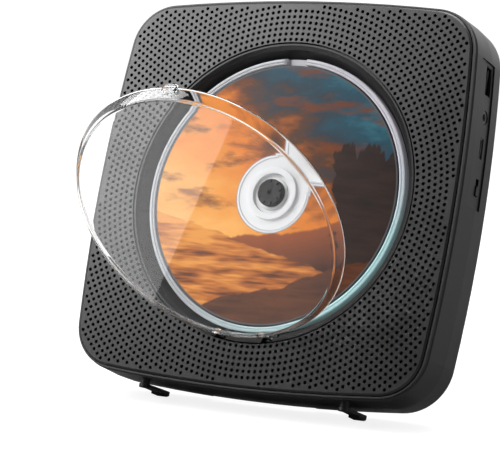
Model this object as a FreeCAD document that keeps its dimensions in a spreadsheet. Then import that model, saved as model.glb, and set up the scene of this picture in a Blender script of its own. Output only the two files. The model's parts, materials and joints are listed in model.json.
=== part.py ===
import FreeCAD, Part
import math
import os
import re

import Sketcher

# A desktop disc player that leans back on two swivel feet and a kickstand, with its clear lid open.
# Every piece is drawn square to the cabinet: X to the right, Y from the face to the back, Z up the face,
# with the disc's axis at X = Z = 0 and the front of the grille at Y = 0. At the end the whole cabinet is
# leaned back and stood on the desk, with the origin under the middle of its box. Millimetres and degrees.

SIZES = (
    ("lean_angle", 22.0, "lean of the face back from upright"),
    ("lid_angle", 48.8, "opening of the lid as it stands"),
    ("stand_angle", 30.0, "opening of the kickstand as it stands"),
    ("face_half", "=opening_radius + face_border", "half width of the grille at the middle of a side"),
    ("face_border", 19.0, "narrowest part of the grille beside its opening"),
    ("corner_radius", 20.0, "corner of the grille"),
    ("side_radius", 780.0, "bow of the grille's sides"),
    ("corner_at", "=(sqrt(2 * (side_radius - corner_radius) ^ 2 - (side_radius - face_half) ^ 2)"
     " - side_radius + face_half) / 2",
     "middle of the corner's arc, across and up"),
    ("corner_reach", "=corner_at * sqrt(2) + corner_radius + rim_step - wall",
     "inside of the housing's corner from the disc's axis"),
    ("panel_thickness", 2.2, "grille"),
    ("panel_chamfer", 0.8, "bevel round the grille's front edge"),
    ("opening_radius", "=bezel_radius + bezel_play", "round opening in the grille"),
    ("bezel_play", 0.7, "gap between that opening and the well's rim"),
    ("groove_width", 1.2, "shadow gap between grille and housing"),
    ("groove_inset", 1.8, "how far the grille stands over that gap"),
    ("rim_step", 1.6, "housing's front edge beyond the grille's"),
    ("rim_round", 0.5, "bevel of that edge"),
    ("bead_gap", 0.35, "gap between the grille's edge and the bead round it"),
    ("bead_width", 0.7, "bead round the grille"),
    ("bead_front", 1.2, "front of the bead behind the face"),
    ("flare", 2.5, "widest part of the housing beyond the grille's edge"),
    ("wide_depth", "=housing_depth - straight_depth", "depth at which the housing is widest"),
    ("straight_depth", 9.5, "straight part of the housing behind its widest place"),
    ("housing_depth", 28.5, "back edge of the housing"),
    ("wall", 2.2, "housing wall"),
    ("baffle_thickness", 2.0, "plate behind the grille"),
    ("cover_depth", 3.5, "rear cover"),
    ("cover_wall", 2.2, "rear cover's plate"),
    ("lip_depth", 2.5, "lip of the rear cover inside the housing"),
    ("lip_wall", 1.4, "thickness of that lip"),
    ("lip_clearance", 0.2, "play of that lip"),
    ("cover_round", 2.3, "rounding of the rear cover's edge"),
    ("cover_screw_top", 58.0, "upper cover screws, from the middle"),
    ("cover_screw_low", "=stand_half + cover_screw_side", "lower cover screws, from the middle"),
    ("cover_screw_side", 12.0, "lower cover screws beside the kickstand"),
    ("cover_screw_inset", 7.4, "cover screws, from the inside of the wall"),
    ("cover_screw_length", 15.0, "cover screw under its head"),
    ("screw_radius", 1.4, "cover and foot screws"),
    ("screw_head_radius", 2.7, "their heads"),
    ("screw_head", 1.6, "height of their heads"),
    ("boss_radius", 3.4, "bosses for those screws"),
    ("hole_play", 0.05, "play of a screw, pin or shaft in its hole"),
    ("seat_play", 0.3, "play between pieces that pass each other"),
    ("disc_radius", 60.0, "compact disc"),
    ("disc_thickness", 1.2, "compact disc"),
    ("disc_hole", 7.5, "radius of the hole in the disc"),
    ("disc_sink", 4.3, "top of the disc below the face"),
    ("bezel_radius", "=well_radius + bezel_width", "outside of the well's rim"),
    ("bezel_width", 2.6, "width of the well's rim"),
    ("bezel_front", 0.3, "rim below the face"),
    ("bezel_bevel", 1.3, "depth of the rim's bevel"),
    ("bezel_lip", 0.8, "flat of the rim before the bevel"),
    ("well_radius", "=well_floor_radius + well_slope", "mouth of the well"),
    ("well_slope", 2.6, "how far the well narrows to its floor"),
    ("well_floor_radius", "=ring_inner + ring_width + ring_play", "floor of the well"),
    ("well_depth", 9.0, "floor below the face"),
    ("well_wall", 1.3, "wall of the well at its mouth"),
    ("well_floor", 1.6, "thickness of the floor"),
    ("ring_inner", "=disc_radius + disc_play", "clear ring round the disc"),
    ("ring_width", 2.8, "clear ring round the disc"),
    ("ring_play", 0.4, "gap between that ring and the well"),
    ("disc_play", 0.6, "gap between the disc and that ring"),
    ("catch_width", "=lid_tab_width + 2 * tab_play", "notch in the clear ring under the lid's tab"),
    ("tab_play", 1.8, "notch beyond each side of the tab"),
    ("catch_depth", 2.2, "depth of that notch"),
    ("hub_window", "=hub_radius + hub_room", "hole in the floor round the hub"),
    ("hub_room", 3.0, "room round the hub"),
    ("hub_radius", 15.0, "platform under the disc"),
    ("hub_thickness", 2.5, "platform under the disc"),
    ("hub_play", 0.1, "play of the hub in the disc's hole"),
    ("hub_stem_radius", 3.0, "stem of the hub"),
    ("hub_stem", 4.0, "length of that stem"),
    ("cap_radius", 6.3, "notched cap on the hub"),
    ("cap_height", 2.9, "notched cap on the hub"),
    ("cap_rise", 0.4, "hub's top above the disc"),
    ("cap_notch", 0.9, "radius of a notch in the cap"),
    ("cap_notches", 8.0, "notches in the cap"),
    ("cap_hole", 1.1, "hole in the cap"),
    ("shaft_radius", 0.75, "spindle shaft"),
    ("motor_radius", 12.0, "spindle motor"),
    ("motor_height", 6.5, "spindle motor"),
    ("motor_neck", 3.5, "radius of its neck"),
    ("sled_start", "=hub_stem_radius + stem_gap + bracket + bracket_gap + sled_length / 2",
     "lens from the disc's axis at its inner end"),
    ("stem_gap", 2.0, "gap between the hub's stem and the chassis's end wall"),
    ("sled_travel", "=disc_radius - read_margin - sled_start", "travel of the pickup"),
    ("read_margin", 4.0, "end of the pickup's travel inside the disc's edge"),
    ("sled_length", 26.0, "pickup sled along its travel"),
    ("sled_half", 19.0, "pickup sled across its travel"),
    ("sled_thickness", 5.2, "pickup sled"),
    ("lens_radius", 3.5, "lens barrel"),
    ("lens_gap", 1.5, "lens below the disc"),
    ("slot_half", "=lens_radius + slot_play", "slot in the floor for the lens"),
    ("slot_play", 1.5, "room beside the lens"),
    ("rod_radius", 1.5, "guide rods"),
    ("rod_offset", "=sled_half - rod_inset", "guide rods from the middle"),
    ("rod_inset", 4.0, "guide rods from the sled's sides"),
    ("screw_offset", 9.0, "lead screw below the middle"),
    ("lead_radius", 1.6, "lead screw"),
    ("journal_radius", 0.9, "lead screw's ends"),
    ("bracket", 3.0, "end walls of the chassis"),
    ("bracket_half", "=sled_half + bracket_edge", "end walls of the chassis across"),
    ("bracket_edge", 1.0, "end walls beyond the sled's sides"),
    ("bracket_gap", 3.0, "end walls from the sled at its ends"),
    ("chassis_plate", 1.5, "thickness of the chassis"),
    ("chassis_half", "=damper_half + chassis_edge", "chassis across the sled"),
    ("chassis_edge", 4.0, "chassis beyond the dampers"),
    ("chassis_right", "=damper_near + chassis_end", "end of the chassis beyond the disc's axis"),
    ("chassis_end", 7.0, "chassis beyond the near dampers"),
    ("sled_motor_radius", 5.5, "motor of the lead screw"),
    ("sled_motor_length", 9.0, "motor of the lead screw"),
    ("damper_near", 15.0, "near dampers beyond the disc's axis"),
    ("damper_far", "=sled_start + sled_travel", "far dampers from the disc's axis"),
    ("damper_half", "=bracket_half + damper_gap", "dampers from the middle"),
    ("damper_gap", 4.0, "dampers beyond the end walls"),
    ("damper_flange", 1.5, "thickness of a damper's flange"),
    ("damper_radius", 3.2, "damper's flange"),
    ("damper_neck", 2.4, "damper inside the chassis"),
    ("damper_screw", 1.2, "screw through a damper"),
    ("damper_screw_length", "=4 * seat_play + sled_thickness + chassis_plate + damper_flange - damper_end",
     "screw through a damper"),
    ("damper_end", 0.8, "end of that screw behind the well's floor"),
    ("speaker_inset", "=face_half - (well_radius + well_wall + corner_reach) / 2 / sqrt(2)",
     "speaker's axis from the grille's edge"),
    ("speaker_radius", "=(corner_reach - well_radius - well_wall) / 2 - speaker_gap",
     "speaker frame's flange"),
    ("speaker_gap", 2.85, "flange from the well and from the housing's corner"),
    ("speaker_cone", "=speaker_radius - speaker_land", "speaker cone"),
    ("speaker_land", 3.5, "width of the flange round the cone"),
    ("speaker_flange", 1.5, "thickness of the flange"),
    ("speaker_basket", 8.0, "depth of the basket behind the flange"),
    ("speaker_wall", 1.2, "speaker frame"),
    ("speaker_magnet", 11.0, "radius of the magnet"),
    ("magnet_height", 7.0, "height of the magnet"),
    ("paper", 0.6, "thickness of the cone"),
    ("lid_radius", "=lid_skirt_radius - lid_taper", "front edge of the lid"),
    ("lid_skirt_radius", "=well_floor_radius - lid_play", "back edge of the lid's skirt"),
    ("lid_play", 0.4, "skirt inside the well's floor"),
    ("lid_taper", 3.4, "slant of the skirt"),
    ("lid_rise", 5.8, "front of the closed lid before the face"),
    ("lid_skirt", 5.8, "height of the lid with its skirt"),
    ("lid_plate", 2.0, "lid's front plate"),
    ("lid_wall", 1.8, "lid's skirt"),
    ("lid_tab_width", 6.2, "latch tab"),
    ("lid_tab_reach", 0.8, "latch tab beyond the skirt"),
    ("lid_tab_drop", 0.6, "latch tab behind the skirt"),
    ("lid_tab_height", 4.4, "latch tab"),
    ("hinge_below", "=lid_skirt_radius + hinge_drop", "lid's hinge below the disc's axis"),
    ("hinge_drop", 2.9, "lid's hinge below its skirt"),
    ("hinge_depth", 2.5, "lid's hinge behind the face"),
    ("ear_spacing", 23.0, "distance between the lid's ears"),
    ("ear_width", 4.6, "lid's ear"),
    ("ear_thickness", 1.8, "lid's ear"),
    ("ear_length", 6.4, "lid's ear from the hinge"),
    ("ear_tilt", 30.8, "forward slant of the ear when the lid is closed"),
    ("knuckle_radius", 1.7, "round end of the ear"),
    ("pin_radius", 0.8, "lid's hinge pins"),
    ("lug", 2.0, "lugs of the well beside an ear"),
    ("port_step", 1.8, "port recess beyond the grille's edge"),
    ("port_inset", 0.6, "sockets behind the port recess"),
    ("port_low", "=switch_up - port_end", "lower end of the port recess"),
    ("port_end", 9.6, "lower end of the port recess below the power switch"),
    ("port_high", "=face_half - port_top", "upper end of the port recess"),
    ("port_top", 20.9, "upper end of the port recess below the grille's top"),
    ("port_back", "=housing_depth - port_margin", "back edge of the port recess"),
    ("port_margin", 5.4, "port recess from the housing's back edge"),
    ("port_wall", "=wall - flare + port_step", "wall left behind the port recess"),
    ("usb_up", "=port_high - usb_below", "USB socket above the disc's axis"),
    ("usb_below", 8.3, "USB socket below the recess's upper end"),
    ("usb_depth", "=board_depth - usb_over", "USB socket behind the face"),
    ("usb_over", 3.9, "USB socket before the main board"),
    ("usb_long", 13.0, "USB socket's shell"),
    ("usb_short", 5.8, "USB socket's shell"),
    ("usb_body", 14.0, "depth of the USB socket"),
    ("shell_wall", 0.35, "sheet of the socket shells"),
    ("usb_tongue", 1.9, "tongue inside the USB socket"),
    ("jack_up", "=usb_up - jack_below", "headphone jack above the disc's axis"),
    ("jack_below", 16.5, "headphone jack below the USB socket"),
    ("jack_depth", "=board_depth - jack_over", "headphone jack behind the face"),
    ("jack_over", 3.8, "headphone jack before the main board"),
    ("jack_bore", 1.8, "radius of the jack's bore"),
    ("jack_collar", 2.9, "radius of the jack's collar"),
    ("jack_body", 6.0, "width of the jack's block"),
    ("jack_length", 14.0, "length of the jack's bore"),
    ("charge_up", "=jack_up - charge_below", "charging socket above the disc's axis"),
    ("charge_below", 14.3, "charging socket below the headphone jack"),
    ("charge_depth", "=board_depth - charge_over", "charging socket behind the face"),
    ("charge_over", 4.5, "charging socket before the main board"),
    ("charge_long", 8.9, "charging socket's shell"),
    ("charge_short", 3.2, "charging socket's shell"),
    ("charge_body", 7.4, "depth of the charging socket"),
    ("charge_tongue", 0.7, "tongue inside the charging socket"),
    ("switch_up", "=charge_up - switch_below", "power switch above the disc's axis"),
    ("switch_below", 17.5, "power switch below the charging socket"),
    ("switch_depth", "=board_depth - switch_over", "power switch behind the face"),
    ("switch_over", 4.1, "power switch before the main board"),
    ("switch_travel", 3.0, "slide of the power switch"),
    ("knob_long", 4.2, "power switch's knob"),
    ("knob_short", 2.6, "power switch's knob"),
    ("knob_rise", 1.2, "knob before the sockets"),
    ("knob_flange", 0.9, "flange of the knob"),
    ("switch_long", 14.0, "power switch's block"),
    ("switch_block", 5.2, "power switch's block"),
    ("board_depth", "=housing_depth + cover_depth - cover_wall - standoff_height - board_thickness",
     "front of the main board behind the face"),
    ("standoff_height", 6.0, "main board before the rear cover's plate"),
    ("board_thickness", 1.6, "circuit boards"),
    ("board_left", "=face_half + port_step - port_wall - board_margin - board_width",
     "left edge of the main board"),
    ("board_width", 60.0, "main board"),
    ("board_margin", 5.6, "main board's edge from the port wall"),
    ("board_low", "=port_low - board_end", "lower edge of the main board"),
    ("board_end", 1.0, "main board below the port recess"),
    ("board_high", "=port_high + board_top", "upper edge of the main board"),
    ("board_top", 7.0, "main board above the port recess"),
    ("board_screw_inset", 6.0, "main board's screws from its edges"),
    ("standoff_radius", 3.0, "standoffs of the main board"),
    ("small_screw", 1.1, "board screws"),
    ("small_head", 2.2, "heads of the board screws"),
    ("small_length", 6.0, "board screws under their heads"),
    ("small_head_height", 1.3, "heads of the board screws"),
    ("battery_width", 46.0, "battery pack"),
    ("battery_height", 48.0, "battery pack"),
    ("battery_thickness", 8.8, "battery pack"),
    ("battery_left", "=face_half - battery_side", "battery pack's left side from the middle"),
    ("battery_side", 26.7, "battery pack from the grille's edge"),
    ("battery_gap", 1.0, "battery pack below the key board's screws"),
    ("battery_low", "=face_half + flare - wall - key_board_drop - board_thickness - small_head_height"
     " - battery_gap - battery_height", "battery pack's lower side"),
    ("key_pitch", 16.0, "spacing of the keys"),
    ("key_width", 11.0, "key"),
    ("key_depth", 6.4, "key from front to back"),
    ("key_place", "=housing_depth - lip_depth - key_depth / 2 - key_room",
     "middle of the keys behind the face"),
    ("key_room", 1.4, "room behind a key for its flange"),
    ("key_rise", 0.9, "keys above the top wall"),
    ("key_travel", 0.6, "travel of a key"),
    ("key_flange", 1.2, "flange of a key"),
    ("key_board_drop", 8.4, "top of the key board below the inside of the top wall"),
    ("key_board_half", "=2 * key_pitch + key_width / 2 + key_end", "key board from the middle"),
    ("key_end", 6.5, "key board beyond the outer keys"),
    ("key_board_depth", 12.0, "key board from front to back"),
    ("key_post", 5.0, "posts that carry the key board"),
    ("tact_width", 6.0, "switch under a key"),
    ("tact_height", 2.0, "switch under a key"),
    ("tact_button", 1.6, "radius of its button"),
    ("tact_rise", 0.8, "height of its button"),
    ("hinge_up", 8.0, "kickstand's hinge above the disc's axis"),
    ("stand_half", 24.0, "kickstand from the middle"),
    ("stand_thickness", 2.6, "kickstand"),
    ("stand_play", 0.6, "play of the kickstand in its recess"),
    ("stand_side", 2.5, "play of the kickstand at each side"),
    ("stand_pin", 0.9, "kickstand's pin"),
    ("stand_barrel", "=stand_thickness / 2 + barrel_bulge", "kickstand's barrel"),
    ("barrel_bulge", 0.3, "barrel beyond the kickstand's faces"),
    ("stand_window", "=stand_half - stand_stile", "half width of the kickstand's window"),
    ("stand_stile", 10.0, "frame beside that window"),
    ("stand_rail", 12.0, "frame above and below that window"),
    ("stand_pad", 2.0, "rubber strip on the kickstand's end"),
    ("tub_wall", 1.8, "walls of the kickstand's recess"),
    ("tub_reach", 8.0, "recess above the kickstand's hinge"),
    ("foot_spacing", 100.0, "distance between the feet"),
    ("foot_pivot", 8.0, "foot's pivot behind the face"),
    ("foot_rear", "=housing_depth + foot_over", "foot's back end behind the face"),
    ("foot_over", -1.5, "foot's back end from the housing's back edge"),
    ("foot_width", 5.0, "foot"),
    ("foot_gap", 0.3, "foot below the cabinet"),
    ("foot_front_height", 1.2, "foot at its pivot"),
    ("foot_rear_height", 1.8, "foot at its back end"),
    ("foot_pad_length", 8.0, "rubber pad under the foot"),
    ("foot_pad_height", 1.0, "rubber pad under the foot"),
    ("rest_facet", 0.8, "flat worn on the pads where they meet the desk"),
    ("foot_screw_length", 9.0, "foot's pivot screw under its head"),
    ("foot_boss", 2.2, "boss above the foot's pivot"),
)

# Places that follow from the sizes, as formulas of the sheet.
RIM_DEPTH = "(panel_thickness + groove_width)"
BAFFLE_BACK = "(panel_thickness + baffle_thickness)"
REAR = "(housing_depth + cover_depth)"
COVER_INNER = "(housing_depth + cover_depth - cover_wall)"
WIDE_HALF = "(face_half + flare)"
INNER_HALF = "(face_half + flare - wall)"
DISC_BACK = "(disc_sink + disc_thickness)"
HUB_BACK = "(disc_sink + disc_thickness + hub_thickness)"
CAP_BACK = "(disc_sink - cap_rise)"
WELL_BACK = "(well_depth + well_floor)"
SLED_FRONT = "(well_depth + well_floor + 2 * seat_play)"
SLED_BACK = "(well_depth + well_floor + 2 * seat_play + sled_thickness)"
SLED_AXIS = "(well_depth + well_floor + 2 * seat_play + sled_thickness / 2)"
CHASSIS_FRONT = "(well_depth + well_floor + 4 * seat_play + sled_thickness)"
CHASSIS_BACK = "(well_depth + well_floor + 4 * seat_play + sled_thickness + chassis_plate)"
SLED_RIGHT = "(sled_length / 2 - sled_start)"
BRACKET_RIGHT = "(sled_length / 2 - sled_start + bracket_gap)"
BRACKET_LEFT = "(0 - sled_start - sled_travel - sled_length / 2 - bracket_gap)"
CHASSIS_LEFT = "(0 - sled_start - sled_travel - sled_length / 2 - bracket_gap - bracket)"
BOARD_RIGHT = "(face_half + port_step - port_wall - board_margin)"
BOARD_BACK = "(board_depth + board_thickness)"
KEY_BOARD_TOP = "(face_half + flare - wall - key_board_drop)"
STAND_DEPTH = "(housing_depth + cover_depth - stand_play - stand_thickness / 2)"
RECESS_FLOOR = "(housing_depth + cover_depth - 2 * stand_play - stand_thickness)"
FOOT_TOP = "(face_half + flare + foot_gap)"
PAD_BOTTOM = "(face_half + flare + foot_gap + foot_rear_height + foot_pad_height)"
AXIS_HEIGHT = f"(foot_rear * sin(lean_angle) + {PAD_BOTTOM} * cos(lean_angle) - rest_facet)"
LEG = (f"(({AXIS_HEIGHT} - {STAND_DEPTH} * sin(lean_angle) + hinge_up * cos(lean_angle))"
       " / cos(stand_angle - lean_angle))")

doc = FreeCAD.newDocument("disc_player")
sheet = doc.addObject("Spreadsheet::Sheet", "Sizes")
for row, (alias, _, note) in enumerate(SIZES, start=1):
    sheet.set(f"A{row}", alias)
    sheet.set(f"C{row}", note)
    sheet.setAlias(f"B{row}", alias)
for row, (_, value, _) in enumerate(SIZES, start=1):
    sheet.set(f"B{row}", str(value))
doc.recompute()

ALIASES = {alias for alias, _, _ in SIZES}
X_AXIS = FreeCAD.Vector(1, 0, 0)
ALONG = {
    "X": FreeCAD.Rotation(FreeCAD.Vector(0, 1, 0), 90),
    "Y": FreeCAD.Rotation(X_AXIS, -90),
    "Z": FreeCAD.Rotation(),
}
nodes = []


def size(alias):
    """The value of one cell of the sheet."""
    return float(sheet.get(alias))


def formula(text):
    """A formula of the sheet's aliases, as the document reads it."""
    return re.sub(r"[a-z_]+", lambda word: f"Sizes.{word[0]}" if word[0] in ALIASES else word[0],
                  str(text))


def bind(shape, **values):
    """Ties properties to formulas; x, y and z are the shape's place."""
    for name, text in values.items():
        path = f"Placement.Base.{name}" if name in ("x", "y", "z") else name
        shape.setExpression(path, formula(text))
    return shape


def box(name, x, y, z):
    """A block between two places along each axis, given as (low, high) formulas."""
    shape = doc.addObject("Part::Box", name)
    spans = [f"({high}) - ({low})" for low, high in (x, y, z)]
    return bind(shape, Length=spans[0], Width=spans[1], Height=spans[2], x=x[0], y=y[0], z=z[0])


def middle(place, width):
    """The (low, high) formulas of a width about a place."""
    return f"{place} - ({width}) / 2", f"{place} + ({width}) / 2"


def rod(name, axis, place, radius, length):
    """A cylinder from a place along X, Y or Z."""
    shape = doc.addObject("Part::Cylinder", name)
    shape.Placement = FreeCAD.Placement(FreeCAD.Vector(), ALONG[axis])
    return bind(shape, Radius=radius, Height=length, x=place[0], y=place[1], z=place[2])


def taper(name, place, front, back, length):
    """A cone along Y from its front radius to its back radius."""
    shape = doc.addObject("Part::Cone", name)
    shape.Placement = FreeCAD.Placement(FreeCAD.Vector(), ALONG["Y"])
    return bind(shape, Radius1=front, Radius2=back, Height=length, x=place[0], y=place[1], z=place[2])


def wedge(name, x, y, z_near, z_far):
    """A block whose lower and upper sides change from its near end to its far end along Y."""
    shape = doc.addObject("Part::Wedge", name)
    return bind(shape, Xmin=x[0], Xmax=x[1], X2min=x[0], X2max=x[1], Ymin=y[0], Ymax=y[1],
                Zmin=z_near[0], Zmax=z_near[1], Z2min=z_far[0], Z2max=z_far[1])


def fuse(name, shapes):
    shape = doc.addObject("Part::MultiFuse", name)
    shape.Shapes = shapes
    return shape


def cut(name, base, tools):
    shape = doc.addObject("Part::Cut", name)
    shape.Base = base
    shape.Tool = tools[0] if len(tools) == 1 else fuse(f"{name}_cuts", tools)
    return shape


def common(name, first, second):
    shape = doc.addObject("Part::Common", name)
    shape.Base = first
    shape.Tool = second
    return shape


def group(name, shapes):
    shape = doc.addObject("Part::Compound", name)
    shape.Links = shapes
    return shape


def node(label, shape):
    """Names a finished piece of the player."""
    shape.Label = label
    nodes.append(shape)
    return shape


def outline(body, name, depth, grow):
    """A bowed square round the disc's axis: four side arcs and four corner arcs, all moved out by grow."""
    sketch = body.newObject("Sketcher::SketchObject", name)
    plane = [part for part in body.Origin.OriginFeatures if part.Role == "XZ_Plane"][0]
    sketch.AttachmentSupport = [(plane, "")]
    sketch.MapMode = "FlatFace"
    sketch.setExpression("AttachmentOffset.Base.z", formula(f"0 - ({depth})"))
    side = size("side_radius")
    corner = size("corner_radius")
    back = side - size("face_half")
    place = size("corner_at")
    turn = math.atan2(place, place + back)
    quarter = math.pi / 2
    up = FreeCAD.Vector(0, 0, 1)
    for number in range(4):
        start = number * quarter
        spin = FreeCAD.Rotation(up, math.degrees(start))
        side_circle = Part.Circle(spin.multVec(FreeCAD.Vector(-back, 0, 0)), up, side)
        corner_circle = Part.Circle(spin.multVec(FreeCAD.Vector(place, place, 0)), up, corner)
        sketch.addGeometry(Part.ArcOfCircle(side_circle, start - turn, start + turn))
        sketch.addGeometry(Part.ArcOfCircle(corner_circle, start + turn, start + quarter - turn))
    for arc in range(8):
        sketch.addConstraint(Sketcher.Constraint("Tangent", arc, 2, (arc + 1) % 8, 1))
    for arc in (2, 4, 6):
        sketch.addConstraint(Sketcher.Constraint("Equal", 0, arc))
        sketch.addConstraint(Sketcher.Constraint("Equal", 1, arc + 1))
    for arc, axis in ((0, -1), (2, -2), (4, -1), (6, -2)):
        sketch.addConstraint(Sketcher.Constraint("PointOnObject", arc, 3, axis))
    for kind, first, second in (("DistanceX", (0, 3), (-1, 1)), ("DistanceY", (2, 3), (-1, 1)),
                                ("DistanceX", (-1, 1), (4, 3)), ("DistanceY", (-1, 1), (6, 3))):
        number = sketch.addConstraint(Sketcher.Constraint(kind, *first, *second, back))
        sketch.setExpression(f"Constraints[{number}]", formula("side_radius - face_half"))
    for arc, radius in ((0, "side_radius"), (1, "corner_radius")):
        number = sketch.addConstraint(Sketcher.Constraint("Radius", arc, size(radius)))
        sketch.setExpression(f"Constraints[{number}]", formula(f"{radius} + {grow}"))
    return sketch


def loft(body, name, sections, cuts=False):
    """A straight-sided block through outlines at (depth, grow)."""
    sketches = [outline(body, f"{name}_{number}", depth, grow)
                for number, (depth, grow) in enumerate(sections)]
    kind = "PartDesign::SubtractiveLoft" if cuts else "PartDesign::AdditiveLoft"
    feature = body.newObject(kind, name)
    feature.Profile = sketches[0]
    feature.Sections = sketches[1:]
    feature.Ruled = True
    return feature


def body_of(name):
    return doc.addObject("PartDesign::Body", name)


def swing(name, shape, angle, depth, height):
    """A piece turned about a hinge across the cabinet."""
    turned = group(name, [shape])
    turn = FreeCAD.Rotation(X_AXIS, angle)
    turned.Placement = FreeCAD.Placement(FreeCAD.Vector(), turn, FreeCAD.Vector(0, depth, height))
    return turned


def both(text):
    """The formulas of a place and of its mirror image."""
    return f"({text})", f"(0 - ({text}))"


# The desk, as the cabinet sees it: a slab whose top is the floor that the pads are cut to.
DESK_SPAN = 600.0
DESK_DEPTH = 40.0


def desk(name):
    slab = doc.addObject("Part::Box", name)
    slab.Length = DESK_SPAN
    slab.Width = DESK_SPAN
    slab.Height = DESK_DEPTH
    lean = FreeCAD.Placement(FreeCAD.Vector(), FreeCAD.Rotation(X_AXIS, size("lean_angle")))
    low = FreeCAD.Vector(-DESK_SPAN / 2, -DESK_SPAN / 2, -DESK_DEPTH - axis_height)
    slab.Placement = lean.multiply(FreeCAD.Placement(low, FreeCAD.Rotation()))
    return slab


lean_turn = math.radians(size("lean_angle"))
pad_bottom = (size("face_half") + size("flare") + size("foot_gap") + size("foot_rear_height")
              + size("foot_pad_height"))
axis_height = (size("foot_rear") * math.sin(lean_turn) + pad_bottom * math.cos(lean_turn)
               - size("rest_facet"))

# Front grille: a bowed square plate with a bevelled edge and the round opening for the disc.
grille_plate = body_of("grille_plate")
loft(grille_plate, "grille_form", [
    ("0", "(0 - panel_chamfer)"),
    ("panel_chamfer", "0"),
    ("panel_thickness", "0"),
])
grille_opening = rod("grille_opening", "Y", ("0", "0 - panel_thickness", "0"), "opening_radius",
                     "3 * panel_thickness")
node("front_grille", cut("grille_cut", grille_plate, [grille_opening]))

# Housing: baffle, bead and bevelled rim, flared walls, screw bosses, port recess, key holes and the
# pivot bosses of the feet.
HOUSING_FORM = [(RIM_DEPTH, "(rim_step - rim_round)"), (f"({RIM_DEPTH} + rim_round)", "rim_step"),
                ("wide_depth", "flare"), ("housing_depth", "flare")]
HOUSING_HOLLOW = [(BAFFLE_BACK, "(rim_step - wall)"), ("wide_depth", "(flare - wall)"),
                  ("housing_depth", "(flare - wall)")]
cabinet = body_of("cabinet_shell")
loft(cabinet, "cabinet_form", HOUSING_FORM)
loft(cabinet, "cabinet_bead", [
    ("bead_front", "(bead_gap + bead_width)"),
    (RIM_DEPTH, "(bead_gap + bead_width)"),
])
loft(cabinet, "cabinet_bead_inside", [("bead_front", "bead_gap"), (RIM_DEPTH, "bead_gap")], cuts=True)
loft(cabinet, "cabinet_seat", [
    ("panel_thickness", "(0 - groove_inset)"),
    (RIM_DEPTH, "(0 - groove_inset)"),
])
loft(cabinet, "cabinet_hollow", HOUSING_HOLLOW, cuts=True)

COVER_SCREW_Z = f"({INNER_HALF} - cover_screw_inset)"
cover_screws_at = [(x, COVER_SCREW_Z) for x in both("cover_screw_top")]
cover_screws_at += [(x, f"(0 - {COVER_SCREW_Z})") for x in both("cover_screw_low")]
cover_bosses = [rod(f"cover_boss_{number}", "Y", (x, f"{BAFFLE_BACK} - baffle_thickness / 2", z),
                    "boss_radius", f"housing_depth - {BAFFLE_BACK} + baffle_thickness / 2")
                for number, (x, z) in enumerate(cover_screws_at)]
COVER_SCREW_TIP = f"({REAR} - screw_head - cover_screw_length)"
cover_boss_holes = [rod(f"cover_boss_hole_{number}", "Y", (x, f"{COVER_SCREW_TIP} - seat_play", z),
                        "screw_radius + hole_play", "cover_screw_length + 2 * screw_head")
                    for number, (x, z) in enumerate(cover_screws_at)]

KEY_BOARD_PLACE = middle("key_place", "key_board_depth")
KEY_POST_BACK = "(housing_depth - lip_depth - seat_play)"
key_posts = [box(f"key_post_{number}", middle(x, "key_post"), (KEY_BOARD_PLACE[0], KEY_POST_BACK),
                 (KEY_BOARD_TOP, f"{WIDE_HALF} - wall / 2 - key_board_half ^ 2 / 2 / side_radius"))
             for number, x in enumerate(both("key_board_half - key_post / 2"))]
key_post_holes = [rod(f"key_post_hole_{number}", "Z", (x, "key_place", f"{KEY_BOARD_TOP} - seat_play"),
                      "small_screw + hole_play", "small_length")
                  for number, x in enumerate(both("key_board_half - key_post / 2"))]

foot_bosses = [rod(f"foot_boss_{number}", "Z", (x, "foot_pivot", f"0 - {FOOT_TOP} + foot_gap / 2"),
                   "foot_boss", "foot_screw_length")
               for number, x in enumerate(both("foot_spacing / 2"))]
foot_boss_holes = [rod(f"foot_boss_hole_{number}", "Z", (x, "foot_pivot", f"0 - {FOOT_TOP} - foot_gap"),
                       "screw_radius + hole_play", "foot_screw_length")
                   for number, x in enumerate(both("foot_spacing / 2"))]

SPEAKER_AT = "(face_half - speaker_inset)"
speakers_at = [("left", f"(0 - {SPEAKER_AT})", f"(0 - {SPEAKER_AT})"),
               ("right", SPEAKER_AT, f"(0 - {SPEAKER_AT})")]
speaker_holes = [rod(f"speaker_hole_{side}", "Y", (x, "0", z), "speaker_cone", f"2 * {BAFFLE_BACK}")
                 for side, x, z in speakers_at]
WELL_OUTER = "(well_radius + well_wall)"
well_hole = rod("well_hole", "Y", ("0", "0", "0"), f"{WELL_OUTER} + hole_play", f"2 * {BAFFLE_BACK}")
EAR_ROOM = "(ear_width / 2 + seat_play + lug)"
hinge_notch = box("hinge_notch", middle("0", f"ear_spacing + 2 * {EAR_ROOM} + 2 * seat_play"),
                  ("0", f"2 * {BAFFLE_BACK}"),
                  ("0 - bezel_radius - seat_play", "0 - well_floor_radius + well_wall"))


def port_face(up):
    """Front of a socket at a height, a little behind the bowed recess."""
    return f"(face_half + port_step - port_inset - {up} ^ 2 / 2 / side_radius)"


def port_inner(up):
    """Inside of the bowed side wall at a height."""
    return f"(face_half + flare - wall - {up} ^ 2 / 2 / side_radius)"


def port_through(up):
    """The (low, high) formulas of a hole through the side wall at a height."""
    return f"{port_inner(up)} - wall", f"{port_face(up)} + 2 * wall"


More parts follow.
